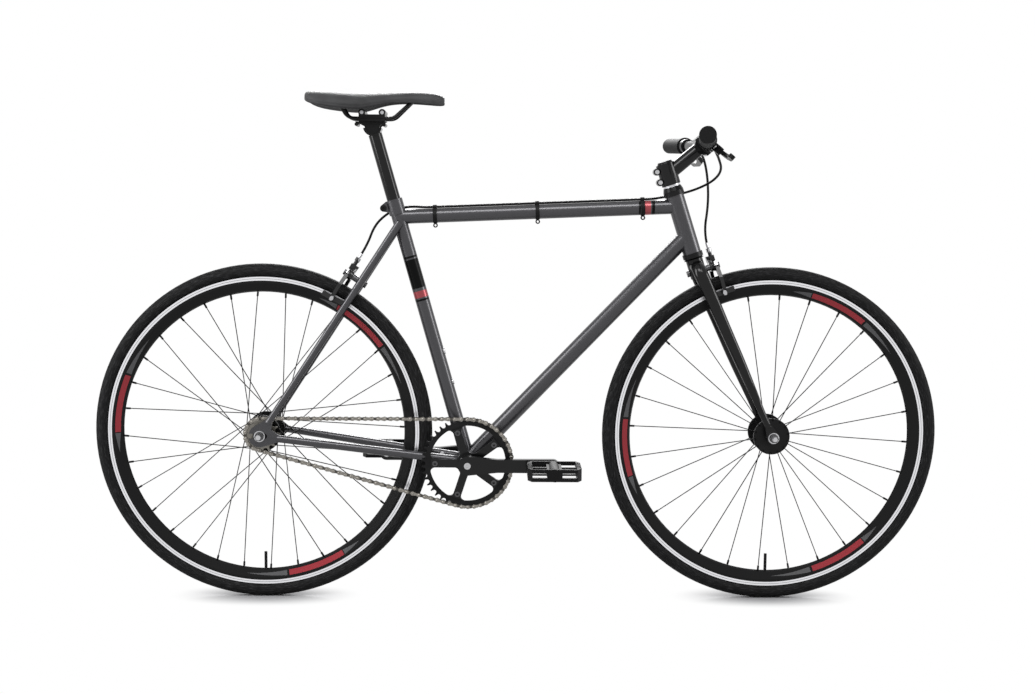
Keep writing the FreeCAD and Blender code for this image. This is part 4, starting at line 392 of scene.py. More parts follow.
# Tyres: slanted tread strokes, streaks along the tread, fine beads beside the rim
tyre = {
    "tones": (grey(0.006), grey(0.010)),
    "shine": 0.07,
    "rough": (0.58, 0.70),
    "grainScale": 800.0,
    "grainHeight": 0.15,
    "bump": 0.7,
    "strokes": 96,
    "strokeSlant": 110.0,
    "strokeShare": 0.17,
    "strokeSides": (0.0045, 0.0118),
    "strokeTone": grey(0.003),
    "strokeDepth": 0.0007,
    "treadRadius": 0.326,
    "streakTurns": 22.0,
    "streakRings": 620.0,
    "streakFade": (0.46, 0.72),
    "streakTone": grey(0.029),
    "beadLines": 2600.0,
    "beadBand": (0.3155, 0.3205),
    "beadHeight": 0.25,
}


def wheelPlaces(finish, axle):  # radius, turn and side distance on a wheel
    forward, lift = finish.along(ahead, axle), finish.along(upward, axle)
    return forward.hypot(lift), lift.maths("ARCTAN2", lift, forward), finish.along(across).size()


def rimFinish(name, axle, stripes):
    finish = Finish(name, Specular_IOR_Level=wheel["rimShine"])
    radius, turn, side = wheelPlaces(finish, axle)
    track = radius.between(*wheel["track"]) * (side > wheel["trackSide"])
    grain = finish.noise(wheel["rimGrain"])
    colour = finish.mix(grain, *wheel["rimTones"])
    band = (radius - wheel["stripeMid"]).size()
    for middle in stripes:
        offset = (turn * (180 / math.pi) - middle + 540.0) % 360.0 - 180.0  # degrees from the stripe's middle
        red = (offset.size() < wheel["stripeHalfTurn"]) * (band < wheel["stripeHalf"])
        length = (offset > 0.0).span(wheel["longTail"], wheel["shortTail"])
        reach = (offset.size() - wheel["stripeHalfTurn"]) / length
        tail = reach.between(wheel["tailGap"], 1.0) * (band < (1 - reach) * wheel["stripeHalf"])
        colour = finish.mix(red, colour, wheel["red"])
        colour = finish.mix(tail, colour, wheel["tailTone"])
    colour = finish.mix(track, colour, wheel["trackTone"])
    colour = finish.mix(track * radius.between(*wheel["trackLine"]), colour, wheel["lineTone"])
    finish.set(Base_Color=colour, Metallic=track.span(*wheel["rimMetal"]),
               Roughness=grain.span(*wheel["rimRough"]))
    return finish.bump((radius * wheel["turnedLines"]).sine() * track, fineGrain, wheel["turnedBump"])


def tyreFinish(name, axle):
    finish = Finish(name, Specular_IOR_Level=tyre["shine"])
    radius, turn, side = wheelPlaces(finish, axle)
    stroke = (turn * (tyre["strokes"] / (2 * math.pi)) + side * tyre["strokeSlant"]) % 1.0
    onTread = side.between(*tyre["strokeSides"]) * (radius > tyre["treadRadius"])
    marks = (stroke < tyre["strokeShare"]) * onTread
    grain = finish.noise(tyre["grainScale"], detail=3.0)
    winding = {0: turn * tyre["streakTurns"], 1: radius * tyre["streakRings"]}
    streak = finish.noise(1.0, detail=4.0, spot=finish.add("ShaderNodeCombineXYZ", {}, winding))
    beads = (radius * tyre["beadLines"]).sine() * radius.between(*tyre["beadBand"])
    tread = finish.mix(grain, *tyre["tones"])
    tread = finish.mix(streak.fade(*tyre["streakFade"]), tread, tyre["streakTone"])
    finish.set(Base_Color=finish.mix(marks, tread, tyre["strokeTone"]), Roughness=grain.span(*tyre["rough"]))
    height = grain * tyre["grainHeight"] - marks + beads * tyre["beadHeight"]
    return finish.bump(height, tyre["strokeDepth"], tyre["bump"])


def axleFinish(name, axle):  # bright stub and washer, dark nut between
    finish = Finish(name, Metallic=1.0)
    nut = wheelPlaces(finish, axle)[0].between(*wheel["nut"])
    grain = finish.noise(wheel["axleGrain"], detail=3.0)
    return finish.set(Base_Color=finish.mix(nut, wheel["stubTone"], wheel["nutTone"]),
                      Roughness=grain.span(*wheel["axleRough"]))


for wheelName in ("front", "rear"):
    axle = bike[wheelName + "Axle"]
    dress(axleFinish(wheelName + "AxleFinish", axle), wheelName + "_axle")
    dress(rimFinish(wheelName + "RimFinish", axle, wheel[wheelName + "Stripes"]), wheelName + "_rim")
    dress(tyreFinish(wheelName + "TyreFinish", axle), wheelName + "_tyre")
print("pieces dressed")


# Modelling helpers
helper = {
    "mergeGap": 0.00001,  # points nearer than this are merged
    "samePlace": 0.000001,
    "endLean": 0.9,  # a face that points sideways by more than this is a rod's end
    "orderPlace": (0.371, 1.913, -0.537),  # off to one side
}


def startPiece():
    if bpy.context.mode != "OBJECT":
        bpy.ops.object.mode_set(mode="OBJECT")
    bpy.ops.object.select_all(action="DESELECT")


def editPiece():
    bpy.ops.object.mode_set(mode="EDIT")
    bpy.ops.mesh.select_mode(type="VERT")


def editNew():  # takes a new primitive's place into its mesh
    bpy.ops.object.transform_apply(location=True, rotation=True, scale=True)
    editPiece()


def leavePiece():
    bpy.ops.object.mode_set(mode="OBJECT")
    return bpy.context.object


def sideDisc(place, radius, sides):  # a flat disc that faces sideways
    startPiece()
    bpy.ops.mesh.primitive_circle_add(calc_uvs=False, vertices=sides, radius=radius, fill_type="NGON",
                                      location=place, rotation=(math.pi / 2, 0, 0))
    editNew()


def crossRod(place, radius, reach, sides):  # a rod across the bicycle
    startPiece()
    bpy.ops.mesh.primitive_cylinder_add(calc_uvs=False, vertices=sides, radius=radius, depth=2 * reach,
                                        location=place, rotation=(math.pi / 2, 0, 0))
    editNew()


def drawOut(shift):
    bpy.ops.mesh.extrude_region_move(TRANSFORM_OT_translate={"value": shift})


def pick(test):  # selects points by place
    mesh = bpy.context.object.data
    bpy.ops.mesh.select_all(action="DESELECT")
    bpy.ops.object.mode_set(mode="OBJECT")
    for vertex in mesh.vertices:
        vertex.select = test(vertex.co)
    bpy.ops.object.mode_set(mode="EDIT")


def pickEnd(side):  # selects a rod's end, on the left for 1 and the right for -1
    bpy.ops.mesh.select_mode(type="FACE")
    bpy.ops.mesh.select_all(action="DESELECT")
    bpy.ops.object.mode_set(mode="OBJECT")
    for face in bpy.context.object.data.polygons:
        face.select = face.normal.y * side > helper["endLean"]
    bpy.ops.object.mode_set(mode="EDIT")


def settleOrder():  # the same order of points on each run, by distance from one place
    bpy.context.scene.cursor.location = helper["orderPlace"]
    bpy.ops.mesh.select_all(action="SELECT")
    bpy.ops.mesh.sort_elements(type="CURSOR_DISTANCE", elements={"VERT", "EDGE", "FACE"})
    bpy.ops.object.mode_set(mode="OBJECT")
    mesh = bpy.context.object.data
    for face in mesh.polygons:  # each face starts at its first point
        corners = list(face.vertices)
        start = corners.index(min(corners))
        face.vertices = corners[start:] + corners[:start]
    mesh.update(calc_edges=True)
    bpy.ops.object.mode_set(mode="EDIT")


def endPiece(name, finish, angle=None):
    bpy.ops.mesh.select_all(action="SELECT")
    bpy.ops.mesh.remove_doubles(threshold=helper["mergeGap"])
    settleOrder()
    bpy.ops.mesh.normals_make_consistent(inside=False)
    piece = leavePiece()
    piece.name = piece.data.name = name
    if angle is None:
        bpy.ops.object.shade_smooth()
    else:
        bpy.ops.object.shade_smooth_by_angle(angle=math.radians(angle))
    piece.data.materials.clear()
    piece.data.materials.append(finish.material)
    return piece


def copyPiece(piece, place):  # a copy with its own mesh
    copy = piece.copy()
    copy.data = piece.data.copy()
    bpy.context.collection.objects.link(copy)
    copy.data.transform(place)
    return copy


def joinPieces(copies, name):
    startPiece()
    for copy in copies:
        copy.select_set(True)
    bpy.context.view_layer.objects.active = copies[0]
    bpy.ops.object.join()
    whole = bpy.context.object
    whole.name = whole.data.name = name
    return whole


def endPieces(copies, name, finish, angle):
    joinPieces(copies, name)
    editPiece()
    return endPiece(name, finish, angle)


# Saddle: one listed ring, drawn out from the tail to the nose
saddle = {
    "tail": Vector((-0.4228, 0, 0.9741)),
    "profile": ((0, 1), (0.24, 0.99), (0.46, 0.95), (0.66, 0.875), (0.82, 0.76), (0.93, 0.60), (0.985, 0.40),
                (1, 0.24), (0.985, 0.20), (0.997, 0.16), (0.985, 0.05), (0.94, 0), (0.87, 0.05), (0.76, 0.20),
                (0.52, 0.38), (0.25, 0.46), (0, 0.48)),
    # place along the saddle, half width, height of the top, height of the skirt
    "stations": ((0.0008, 0.040, 0.0425, 0.0255), (0.0060, 0.0535, 0.0456, 0.0205),
                 (0.020, 0.0635, 0.0462, 0.0150), (0.042, 0.0700, 0.0460, 0.0110),
                 (0.066, 0.0728, 0.0445, 0.0085), (0.090, 0.071, 0.0427, 0.0055),
                 (0.112, 0.062, 0.0412, 0.0060), (0.134, 0.048, 0.0410, 0.0125),
                 (0.156, 0.036, 0.0418, 0.0190), (0.182, 0.0285, 0.0436, 0.0220),
                 (0.210, 0.024, 0.0450, 0.0220), (0.238, 0.0215, 0.0447, 0.0200),
                 (0.258, 0.0195, 0.0425, 0.0182), (0.2690, 0.0165, 0.0392, 0.0180),
                 (0.2736, 0.0120, 0.0355, 0.0195)),
    "seed": 0.001,
    "endShrink": 0.72,
    "startDrop": 0.0010,
    "coverLean": 0.15,
    "pressure": 4.0,
    "frames": 20,
    "swellCap": 0.0016,
    "fill": 0.85,
    "tones": (grey(0.030), grey(0.042)),
    "shine": 0.16,
    "rough": (0.46, 0.58),
    "cloudScale": 40.0,
    "cloudFade": (0.3, 0.7),
    "poreScale": 620.0,
    "poreFade": (0.0, 0.25),
    "poreHeight": 0.0002,
    "poreBump": 0.35,
}


def saddleLeather():
    finish = Finish("saddleCover", Specular_IOR_Level=saddle["shine"])
    pores = finish.add("ShaderNodeTexVoronoi", {"feature": "DISTANCE_TO_EDGE"},
                       {"Vector": finish.place(), "Scale": saddle["poreScale"]})
    cloud = finish.noise(saddle["cloudScale"], detail=4.0)
    finish.set(Base_Color=finish.mix(cloud.fade(*saddle["cloudFade"]), *saddle["tones"]),
               Roughness=cloud.span(*saddle["rough"]))
    return finish.bump(pores.fade(*saddle["poreFade"]), saddle["poreHeight"], saddle["poreBump"])


def swellCover(pad):  # the cover swells over its foam, held along the stiff shell below
    scene = bpy.context.scene
    before = [vertex.co.copy() for vertex in pad.data.vertices]
    shell = pad.vertex_groups.new(name="shell")
    held = [vertex.index for vertex in pad.data.vertices if vertex.normal.z < saddle["coverLean"]]
    shell.add(held, 1.0, "REPLACE")
    cloth = pad.modifiers.new("swell", "CLOTH")
    cloth.settings.use_pressure = True
    cloth.settings.uniform_pressure_force = saddle["pressure"]
    cloth.settings.vertex_group_mass = "shell"
    cloth.settings.effector_weights.gravity = 0.0
    for frameNumber in range(1, saddle["frames"] + 1):
        scene.frame_set(frameNumber)
    bpy.ops.object.modifier_apply(modifier="swell")
    scene.frame_set(1)
    moves = []
    for vertex, spot in zip(pad.data.vertices, before):
        move = vertex.co - spot
        moves.append(move.length)
        if move.length > saddle["swellCap"]:
            vertex.co = spot + move * (saddle["swellCap"] / move.length)
    pad.vertex_groups.clear()
    print("saddle cover swelled by up to", round(max(moves) * 1000, 2), "mm before the cap,",
          len(held), "of", len(before), "points held")


def saddlePad():
    startPiece()
    half = list(saddle["profile"])
    ring = half + [(-y, z) for y, z in reversed(half[1:-1])]
    stations = [(x, wide, top - saddle["startDrop"], skirt) for x, wide, top, skirt in saddle["stations"]]
    x, wide, top, skirt = stations[0]
    spots = [saddle["tail"] + Vector((x, y * wide, skirt + z * (top - skirt))) for y, z in ring]
    bpy.ops.mesh.primitive_plane_add(calc_uvs=False, size=saddle["seed"], location=spots[0])
    editNew()
    bpy.ops.mesh.select_all(action="SELECT")
    bpy.ops.mesh.merge(type="CENTER")
    for before, spot in zip(spots, spots[1:]):
        drawOut(spot - before)
    pick(lambda co: min((co - spots[0]).length, (co - spots[-1]).length) < helper["samePlace"])
    bpy.ops.mesh.edge_face_add()
    bpy.ops.mesh.select_all(action="SELECT")

    def cap(centre):  # closes the ring that is selected
        drawOut((0, 0, 0))
        bpy.ops.transform.resize(value=(1, saddle["endShrink"], saddle["endShrink"]), center_override=centre)
        drawOut((0, 0, 0))
        bpy.ops.mesh.merge(type="CENTER")

    before = stations[0]
    for station in stations[1:]:
        x, wide, top, skirt = station
        drawOut(Vector((x - before[0], 0, skirt - before[3])))
        foot = saddle["tail"] + Vector((x, 0, skirt))
        grow = (1, wide / before[1], (top - skirt) / (before[2] - before[3]))
        bpy.ops.transform.resize(value=grow, center_override=foot)
        before = station
    nose = saddle["tail"] + Vector((before[0], 0, (before[2] + before[3]) / 2))
    cap(nose)
    start = stations[0]
    pick(lambda co: abs(co.x - spots[0].x) < helper["samePlace"])
    cap(saddle["tail"] + Vector((start[0], 0, (start[2] + start[3]) / 2)))
    pad = endPiece("saddlePad", saddleLeather())
    for stage in ("rough", "smooth"):
        finer = pad.modifiers.new(stage, "SUBSURF")
        finer.levels = finer.render_levels = 1
        bpy.ops.object.modifier_apply(modifier=stage)
        if stage == "rough":
            swellCover(pad)
    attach(pad, "seat")
    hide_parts("saddle")


saddlePad()
print("saddle padded")

# Rail clamp: cross nuts with sunk bright ends, and flared cheeks that turn beside the cradle
clamp = {
    "axis": Vector((-0.29083, 0, 0.95012)),
    "sides": 28,
    "nutPlaces": (-0.3108, -0.2708),
    "nutHeight": 0.9770,
    "nutRadius": 0.0068,
    "nutHalf": 0.0288,
    "nutRim": 0.0032,
    "nutSink": 0.0020,
    "nutTone": grey(0.005),
    "nutBright": grey(0.48),
    "nutShine": 0.19,
    "nutMetal": (0.1, 0.9),
    "nutWear": 60.0,
    "nutRough": (0.20, 0.30),
    "cheekRadius": 0.0150,
    "cheekTop": 0.0094,
    "cheekTopFrom": 0.002,
    "cheekFlare": 1.7,
    "cheekInside": 0.0172,
    "cheekThick": 0.0033,
    "cheekRim": 0.0022,
    "cheekSink": 0.0009,
    "cheekTail": 0.009,
    "cheekTailFrom": 0.021,
    "boltEnds": ((-0.0310, 0.0042), (0.0232, 0.0034)),
    "boltScale": (0.55, 0.72, 0.55),
    "smoothAngle": 35,
}


def nutFinish():
    finish = Finish("crossNutBlack", Specular_IOR_Level=clamp["nutShine"])
    bright = 0.0
    for x in clamp["nutPlaces"]:
        out, lift = finish.along(ahead) - x, finish.along(upward) - clamp["nutHeight"]
        bright = (out.hypot(lift) < clamp["nutRadius"] - clamp["nutRim"]) + bright
    wear = finish.noise(clamp["nutWear"], detail=3.0)
    return finish.set(Base_Color=finish.mix(bright, clamp["nutTone"], clamp["nutBright"]),
                      Metallic=bright.span(*clamp["nutMetal"]), Roughness=wear.span(*clamp["nutRough"]))


def crossNut():
    place = (clamp["nutPlaces"][0], 0, clamp["nutHeight"])
    crossRod(place, clamp["nutRadius"], clamp["nutHalf"], clamp["sides"])
    for side in (1, -1):
        pickEnd(side)
        bpy.ops.mesh.inset(thickness=clamp["nutRim"])
        drawOut((0, -side * clamp["nutSink"], 0))
    return leavePiece()


def clampCheek():  # a disc drawn out to a flared top, with a sunk panel
    middle = clamp["axis"] - across * clamp["cheekInside"]
    sideDisc(middle, clamp["cheekRadius"], clamp["sides"])
    pick(lambda co: co.z > middle.z + clamp["cheekTopFrom"])
    bpy.ops.transform.resize(value=(clamp["cheekFlare"], 1, 0),
                             center_override=middle + upward * clamp["cheekTop"])
    pick(lambda co: co.x < middle.x - clamp["cheekTailFrom"])
    bpy.ops.transform.translate(value=(-clamp["cheekTail"], 0, 0))
    bpy.ops.mesh.select_all(action="SELECT")
    drawOut((0, -clamp["cheekThick"], 0))
    bpy.ops.mesh.select_mode(type="FACE")
    bpy.ops.mesh.inset(thickness=clamp["cheekRim"])
    drawOut((0, clamp["cheekSink"], 0))
    return leavePiece()


def railClamp():
    nut, angle = crossNut(), clamp["smoothAngle"]
    step = ahead * (clamp["nutPlaces"][1] - clamp["nutPlaces"][0])
    home = Matrix.Translation((-clamp["nutPlaces"][0], 0, -clamp["nutHeight"]))
    small = Matrix.Diagonal((*clamp["boltScale"], 1)) @ home
    copies = [nut, copyPiece(nut, Matrix.Translation(step))]
    for out, lift in clamp["boltEnds"]:  # smaller copies under the plate
        copies.append(copyPiece(nut, Matrix.Translation(clamp["axis"] + ahead * out + upward * lift) @ small))
    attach(endPieces(copies, "clampBarrels", nutFinish(), angle), "seat")
    cheek = clampCheek()
    copies = [cheek, copyPiece(cheek, Matrix.Scale(-1, 4, across))]
    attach(endPieces(copies, "clampCheeks", blackAlloy("cheekBlack"), angle), "seat")


railClamp()
print("rail clamp set")

# Chain: one inner and one outer link, copied along the run
chain = {
    "pitch": 0.0127,
    "line": -0.042,
    "ringTeeth": 44,
    "cogTeeth": 16,
    "ringPitches": 24,
    "cogPitches": 8,
    "runPitches": 32,
    "endRadius": 0.0041,
    "waist": 0.62,
    "waistReach": 0.001,
    "flatShare": 0.9,
    "plate": 0.0010,
    "innerSide": 0.00165,
    "outerSide": 0.00275,
    "rollerRadius": 0.0038,
    "pinRadius": 0.0020,
    "pinStand": 0.0006,
    "plateSides": 14,
    "rollerSides": 12,
    "rollerEdge": 0.0002,
    "pinSides": 8,
    "pinEdge": 0.0004,
    "rodTaper": 0.75,
    "smoothAngle": 40,
    "innerTone": (0.085, 0.080, 0.072),
    "outerTone": (0.27, 0.255, 0.230),
    "look": {"scale": 420.0, "worn": (0.35, 0.75), "darker": 0.6, "spread": 0.18},
}


def chainSpots():  # roller places all round the chain
    back, ring = bike["rearAxle"], bike["bracket"]
    toward = (ring - back).normalized()
    rise = Vector((-toward.z, 0, toward.x))
    side = across * chain["line"]
    ringRadius = chain["pitch"] / (2 * math.sin(math.pi / chain["ringTeeth"]))
    cogRadius = chain["pitch"] / (2 * math.sin(math.pi / chain["cogTeeth"]))
    ringStep, cogStep = 2 * math.pi / chain["ringTeeth"], 2 * math.pi / chain["cogTeeth"]
    ringHalf, cogHalf = chain["ringPitches"] * ringStep / 2, chain["cogPitches"] * cogStep / 2

    def onRing(a):
        return ring + side + (toward * math.cos(a) + rise * math.sin(a)) * ringRadius

    def onCog(a):
        return back + side + (rise * math.sin(a) - toward * math.cos(a)) * cogRadius

    spots = [onRing(-ringHalf + ringStep * i) for i in range(chain["ringPitches"] + 1)]
    cogSpots = [onCog(cogHalf - cogStep * i) for i in range(chain["cogPitches"] + 1)]
    for start, end, tail in ((spots[-1], cogSpots[0], cogSpots), (cogSpots[-1], spots[0], [])):
        spots += [start.lerp(end, i / chain["runPitches"]) for i in range(1, chain["runPitches"])] + tail
    return spots


def linkPlate(side):  # a waisted plate, drawn from one circle
    pitch, radius = chain["pitch"], chain["endRadius"]
    sideDisc((0, side, 0), radius, chain["plateSides"])
    pick(lambda co: co.x > 0)
    bpy.ops.transform.translate(value=(pitch, 0, 0))
    pick(lambda co: abs(co.z) > radius * chain["flatShare"])
    bpy.ops.mesh.subdivide(number_cuts=1)
    pick(lambda co: abs(co.x - pitch / 2) < chain["waistReach"])
    bpy.ops.transform.resize(value=(1, 1, chain["waist"]), center_override=(pitch / 2, side, 0))
    bpy.ops.mesh.select_all(action="SELECT")
    drawOut((0, math.copysign(chain["plate"], side), 0))
    return leavePiece()


def linkRod(x, radius, reach, sides, edge):  # a roller or pin with eased ends
    taper = chain["rodTaper"]
    crossRod((x, 0, 0), radius, reach, sides)
    for side in (1, -1):
        pickEnd(side)
        bpy.ops.transform.translate(value=(0, -side * edge, 0))
        drawOut((0, side * edge, 0))
        bpy.ops.transform.resize(value=(taper, 1, taper), center_override=(x, side * reach, 0))
    return leavePiece()


def chainLink(name, plateSide, *rod):  # two plates with a rod at each end
    plates = [linkPlate(plateSide), linkPlate(-plateSide)]
    return joinPieces(plates + [linkRod(x, *rod) for x in (0, chain["pitch"])], name)


def runChain():
    pinReach = chain["outerSide"] + chain["plate"] + chain["pinStand"]
    inner = chainLink("innerLink", chain["innerSide"], chain["rollerRadius"], chain["innerSide"],
                      chain["rollerSides"], chain["rollerEdge"])
    outer = chainLink("outerLink", chain["outerSide"], chain["pinRadius"], pinReach,
                      chain["pinSides"], chain["pinEdge"])
    for link in (inner, outer):
        bpy.context.view_layer.objects.active = link
        editPiece()
        settleOrder()
        leavePiece()
    innerSteel = steel("chainInner", chain["innerTone"], **chain["look"])
    outerSteel = steel("chainOuter", chain["outerTone"], **chain["look"])
    spots = chainSpots()
    for link, first, name, finish, node in (
        (inner, 0, "chainInnerLinks", innerSteel, "chain_inner_links"),
        (outer, 1, "chainOuterLinks", outerSteel, "chain_outer_links"),
    ):
        copies = []
        for index in range(first, len(spots), 2):
            heading = spots[(index + 1) % len(spots)] - spots[index]
            turn = Matrix.Rotation(-math.atan2(heading.z, heading.x), 4, "Y")
            copies.append(copyPiece(link, Matrix.Translation(spots[index]) @ turn))
        bpy.data.objects.remove(link)
        whole = endPieces(copies, name, finish, chain["smoothAngle"])
        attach(whole, "frame")
        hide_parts(node)


runChain()
print("chain linked")

# Brake housings: smooth curves through the CAD routes, with inner wires and ferrules
cables = {
    "radius": 0.0025,
    "wireRadius": 0.0008,
    "ferruleRadius": 0.0031,
    "ferruleLength": 0.011,
    "ferruleSides": 20,
    "ferruleEdge": 0.0006,
    "roundness": 4,
    "wireRoundness": 2,
    "steps": 8,
    "smoothAngle": 50,
    "tipAngle": 40,
    "front": ((0.3695, 0.1236, 0.9108), (0.3737, 0.0939, 0.9098), (0.3790, 0.0620, 0.8884),
              (0.3830, 0.0420, 0.8484), (0.3827, 0.0300, 0.8004), (0.3742, 0.0250, 0.7433),
              (0.3834, 0.0250, 0.7148)),
    "frontWire": (0.3945, 0.0250, 0.6807),
    "rear": ((0.3695, -0.1236, 0.9108), (0.3737, -0.0939, 0.9098), (0.3890, -0.0580, 0.8924),
             (0.4010, -0.0220, 0.8704), (0.3917, 0.0140, 0.8504), (0.3597, 0.0350, 0.8324),
             (0.3177, 0.0360, 0.8204), (0.2857, 0.0180, 0.8154), (0.2662, 0, 0.8124),
             (0.2400, 0, 0.8112), (0.0400, 0, 0.8023),
             (-0.1620, 0, 0.7934), (-0.1882, 0, 0.7922), (-0.2140, 0.0110, 0.7938), (-0.2400, 0.0240, 0.7898),
             (-0.2640, 0.0255, 0.7798), (-0.2900, 0.0250, 0.7558), (-0.3054, 0.0250, 0.7144),
             (-0.3217, 0.0250, 0.6892)),
    "rearWire": (-0.3412, 0.0250, 0.6592),
    "rearSplit": 10,
    "steerBend": ((0.285, 0.018, 0.8154), (0.398, -0.030, 0.8750)),
    "frontBend": ((0.3827, 0.0300, 0.8004), (0.3834, 0.0250, 0.7148)),
    "rearBend": ((-0.2640, 0.0255, 0.7798), (-0.3217, 0.0250, 0.6892)),
}


def tubeAlong(name, points, radius, roundness):
    startPiece()
    data = bpy.data.curves.new(name, "CURVE")
    data.dimensions = "3D"
    data.bevel_depth = radius
    data.bevel_resolution = roundness
    data.resolution_u = cables["steps"]
    data.use_fill_caps = True
    spline = data.splines.new("NURBS")
    spline.points.add(len(points) - 1)
    for point, spot in zip(spline.points, points):
        point.co = (*spot, 1)
    spline.order_u = 3
    spline.use_endpoint_u = True
    curve = bpy.data.objects.new(name, data)
    bpy.context.collection.objects.link(curve)
    bpy.context.view_layer.update()
    depths = bpy.context.evaluated_depsgraph_get()
    tube = bpy.data.objects.new(name, bpy.data.meshes.new_from_object(curve.evaluated_get(depths)))
    bpy.context.collection.objects.link(tube)
    bpy.data.objects.remove(curve)
    tube.select_set(True)
    bpy.context.view_layer.objects.active = tube
    return tube


def ferruleModel():  # one ferrule, standing at the origin
    startPiece()
    length = cables["ferruleLength"]
    bpy.ops.mesh.primitive_cylinder_add(calc_uvs=False, vertices=cables["ferruleSides"], depth=length,
                                        radius=cables["ferruleRadius"], location=(0, 0, length / 2))
    bpy.ops.object.transform_apply(location=True, rotation=True, scale=True)
    model = bpy.context.object
    soften = model.modifiers.new("soften", "BEVEL")
    soften.width, soften.segments = cables["ferruleEdge"], 2
    bpy.ops.object.modifier_apply(modifier="soften")
    return model


def ferruleAt(model, start, toward):
    start = Vector(start)
    turn = (Vector(toward) - start).to_track_quat("Z", "Y").to_matrix().to_4x4()
    return copyPiece(model, Matrix.Translation(start) @ turn)


def coverPiece(name, tube, tips, node):  # a housing that runs between two bodies, joined with its ferrules and attached to neither
    piece = endPieces([tube, *tips], name, housingBlack, cables["smoothAngle"])
    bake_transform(piece)
    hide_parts(node)


def armPiece(name, piece, body):
    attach(endPieces([piece], name, ferruleSilver, cables["tipAngle"]), body)


housingBlack = rubber("housingBlack", tone=0.005, rough=0.34, scale=300.0)
ferruleSilver = steel("ferruleSilver", grey(0.6), rough=0.2)


def runCables():
    front, rear, split = cables["front"], cables["rear"], cables["rearSplit"]
    thick, roundness, ferrule = cables["radius"], cables["roundness"], ferruleModel()
    coverPiece("frontBrakeHousing", tubeAlong("frontCover", front, thick, roundness),
               [ferruleAt(ferrule, front[0], front[1])], "front_brake_housing")
    coverPiece("rearBrakeHousing", tubeAlong("rearCover", rear[:split + 1], thick, roundness),
               [ferruleAt(ferrule, rear[0], rear[1])], "rear_brake_housing")
    coverPiece("rearBrakeHousingEnd", tubeAlong("rearCoverEnd", rear[split:], thick, roundness),
               [], "rear_brake_housing")
    for wheelName in ("front", "rear"):
        route, body = cables[wheelName], wheelName + "_arm_left"
        top, foot = Vector(route[-1]), Vector(cables[wheelName + "Wire"])
        wirePoints = (top, top.lerp(foot, 0.5), foot)
        wire = tubeAlong(wheelName + "Wire", wirePoints, cables["wireRadius"], cables["wireRoundness"])
        armPiece(wheelName + "BrakeWire", wire, body)
        armPiece(wheelName + "HousingTip", ferruleAt(ferrule, top, route[-2]), body)
    bpy.data.objects.remove(ferrule)


runCables()
print("cables run")

# Studio: floor with a painted shadow pool round each tyre that holds the real shadow and fades to white,
# white surround, soft lamps and the photograph's camera
studio = {
    "floorSize": 16.0,
    # the floor's own grey shows only in the painted shadow pool round each tyre
    "floorAndShadowPoolTone": grey(0.32),
    "poolFadeNear": 0.014,
    "poolFadeFar": 0.09,
    "poolStretch": 0.45,
    "air": 0.18,
    "lamps": (("topLamp", (-0.1, -1.7, 2.7), 2.0, 0.9, 52.0),
              ("leftLamp", (-2.8, -1.1, 1.55), 1.2, 2.8, 84.0),
              ("rightLamp", (3.1, -0.7, 1.5), 1.1, 1.8, 50.0),
              ("backLamp", (0.2, 2.8, 2.4), 2.4, 0.8, 160.0)),
    "lampAim": Vector((0, 0, 0.5)),
    "cameraPlace": (-0.04558, -2.90456, 0.81232),
    "yaw": -0.0154,
    "pitch": -0.1026,
    "roll": -0.0081,
    "focalPixels": 1448.11,
    "imageWidth": 1035,
}


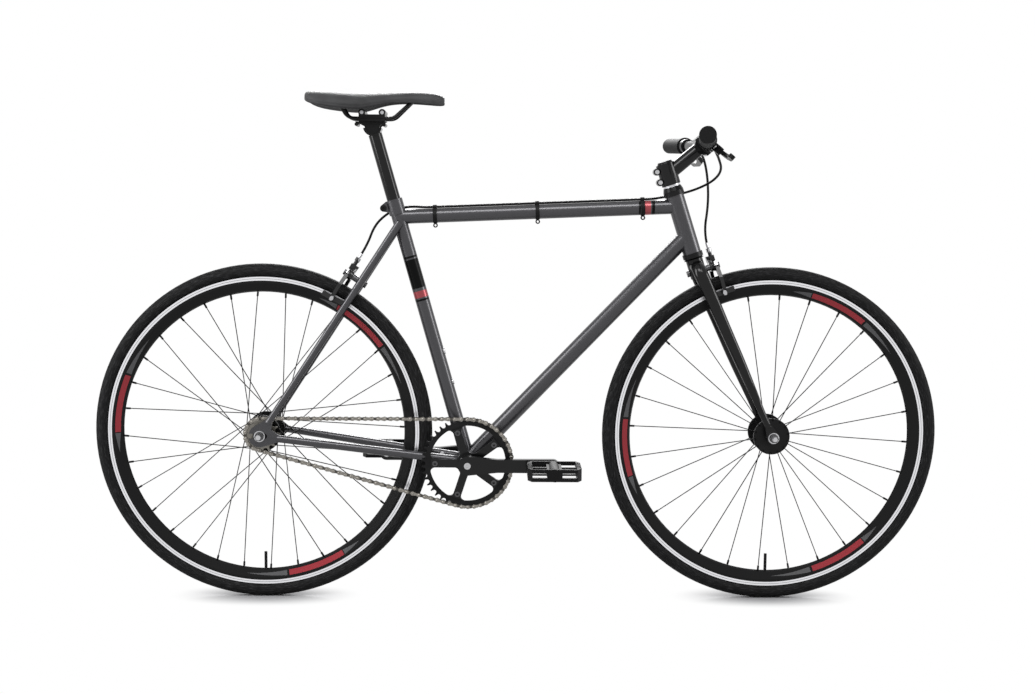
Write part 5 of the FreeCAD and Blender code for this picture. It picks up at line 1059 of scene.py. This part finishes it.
def studioFloor():
    startPiece()
    bpy.ops.mesh.primitive_plane_add(size=studio["floorSize"], location=(0, 0, 0))
    floor = bpy.context.object
    floor.name = "studioFloor"
    finish = Finish("floorWithPaintedShadowPools", Base_Color=studio["floorAndShadowPoolTone"], Roughness=0.9, Specular_IOR_Level=0.1)
    side = finish.along(across)
    reach = (finish.along(ahead).size() - bike["frontAxle"].x) * studio["poolStretch"]
    far = side.hypot(reach)  # distance from where a tyre stands
    glow = finish.add("ShaderNodeEmission", {}, {"Color": (1, 1, 1), "Strength": 1.0})
    # painted shadow: the floor's grey shows only in a pool round each tyre's contact and fades to white
    # further out; the real shadow falls inside that pool
    glowOutsidePools = far.fade(studio["poolFadeNear"], studio["poolFadeFar"]) * finish.seenDirectly()
    plain = Wire(finish, finish.body.outputs[0])
    mixed = finish.add("ShaderNodeMixShader", {}, {0: glowOutsidePools, 1: plain, 2: glow})
    finish.plug(finish.out.inputs[0], mixed)
    floor.data.materials.append(finish.material)


def studioAir():
    world = bpy.data.worlds.new("studioAir")
    bpy.context.scene.world = world
    world.use_nodes = True
    tree = Nodes(world.node_tree)
    air = tree.add("ShaderNodeBackground", {}, {"Color": (0.97, 0.98, 1.0), "Strength": studio["air"]})
    white = tree.add("ShaderNodeBackground", {}, {"Color": (1, 1, 1), "Strength": 1.0})
    mixed = tree.add("ShaderNodeMixShader", {}, {0: tree.seenDirectly(), 1: air, 2: white})
    tree.add("ShaderNodeOutputWorld", {}, {0: mixed})


def studioLamps():
    for name, spot, wide, tall, power in studio["lamps"]:
        bpy.ops.object.light_add(type="AREA", location=spot)
        lamp = bpy.context.object
        lamp.name = name
        lamp.data.shape = "RECTANGLE"
        lamp.data.size, lamp.data.size_y = wide, tall
        lamp.data.energy = power
        lamp.rotation_euler = (studio["lampAim"] - Vector(spot)).to_track_quat("-Z", "Y").to_euler()


def photoCamera():
    data = bpy.data.cameras.new("photoCamera")
    data.sensor_width = 36.0
    data.sensor_fit = "HORIZONTAL"
    data.lens = studio["focalPixels"] * data.sensor_width / studio["imageWidth"]
    data.clip_end = 50.0
    camera = bpy.data.objects.new("photoCamera", data)
    bpy.context.collection.objects.link(camera)
    turn = (Matrix.Rotation(studio["yaw"], 4, "Z") @ Matrix.Rotation(studio["pitch"], 4, "X")
            @ Matrix.Rotation(studio["roll"], 4, "Y") @ Matrix.Rotation(math.pi / 2, 4, "X"))
    camera.matrix_world = Matrix.Translation(studio["cameraPlace"]) @ turn
    bpy.context.scene.camera = camera


studioFloor()
studioAir()
studioLamps()
photoCamera()
bpy.context.scene.view_settings.view_transform = "Standard"
print("studio set")
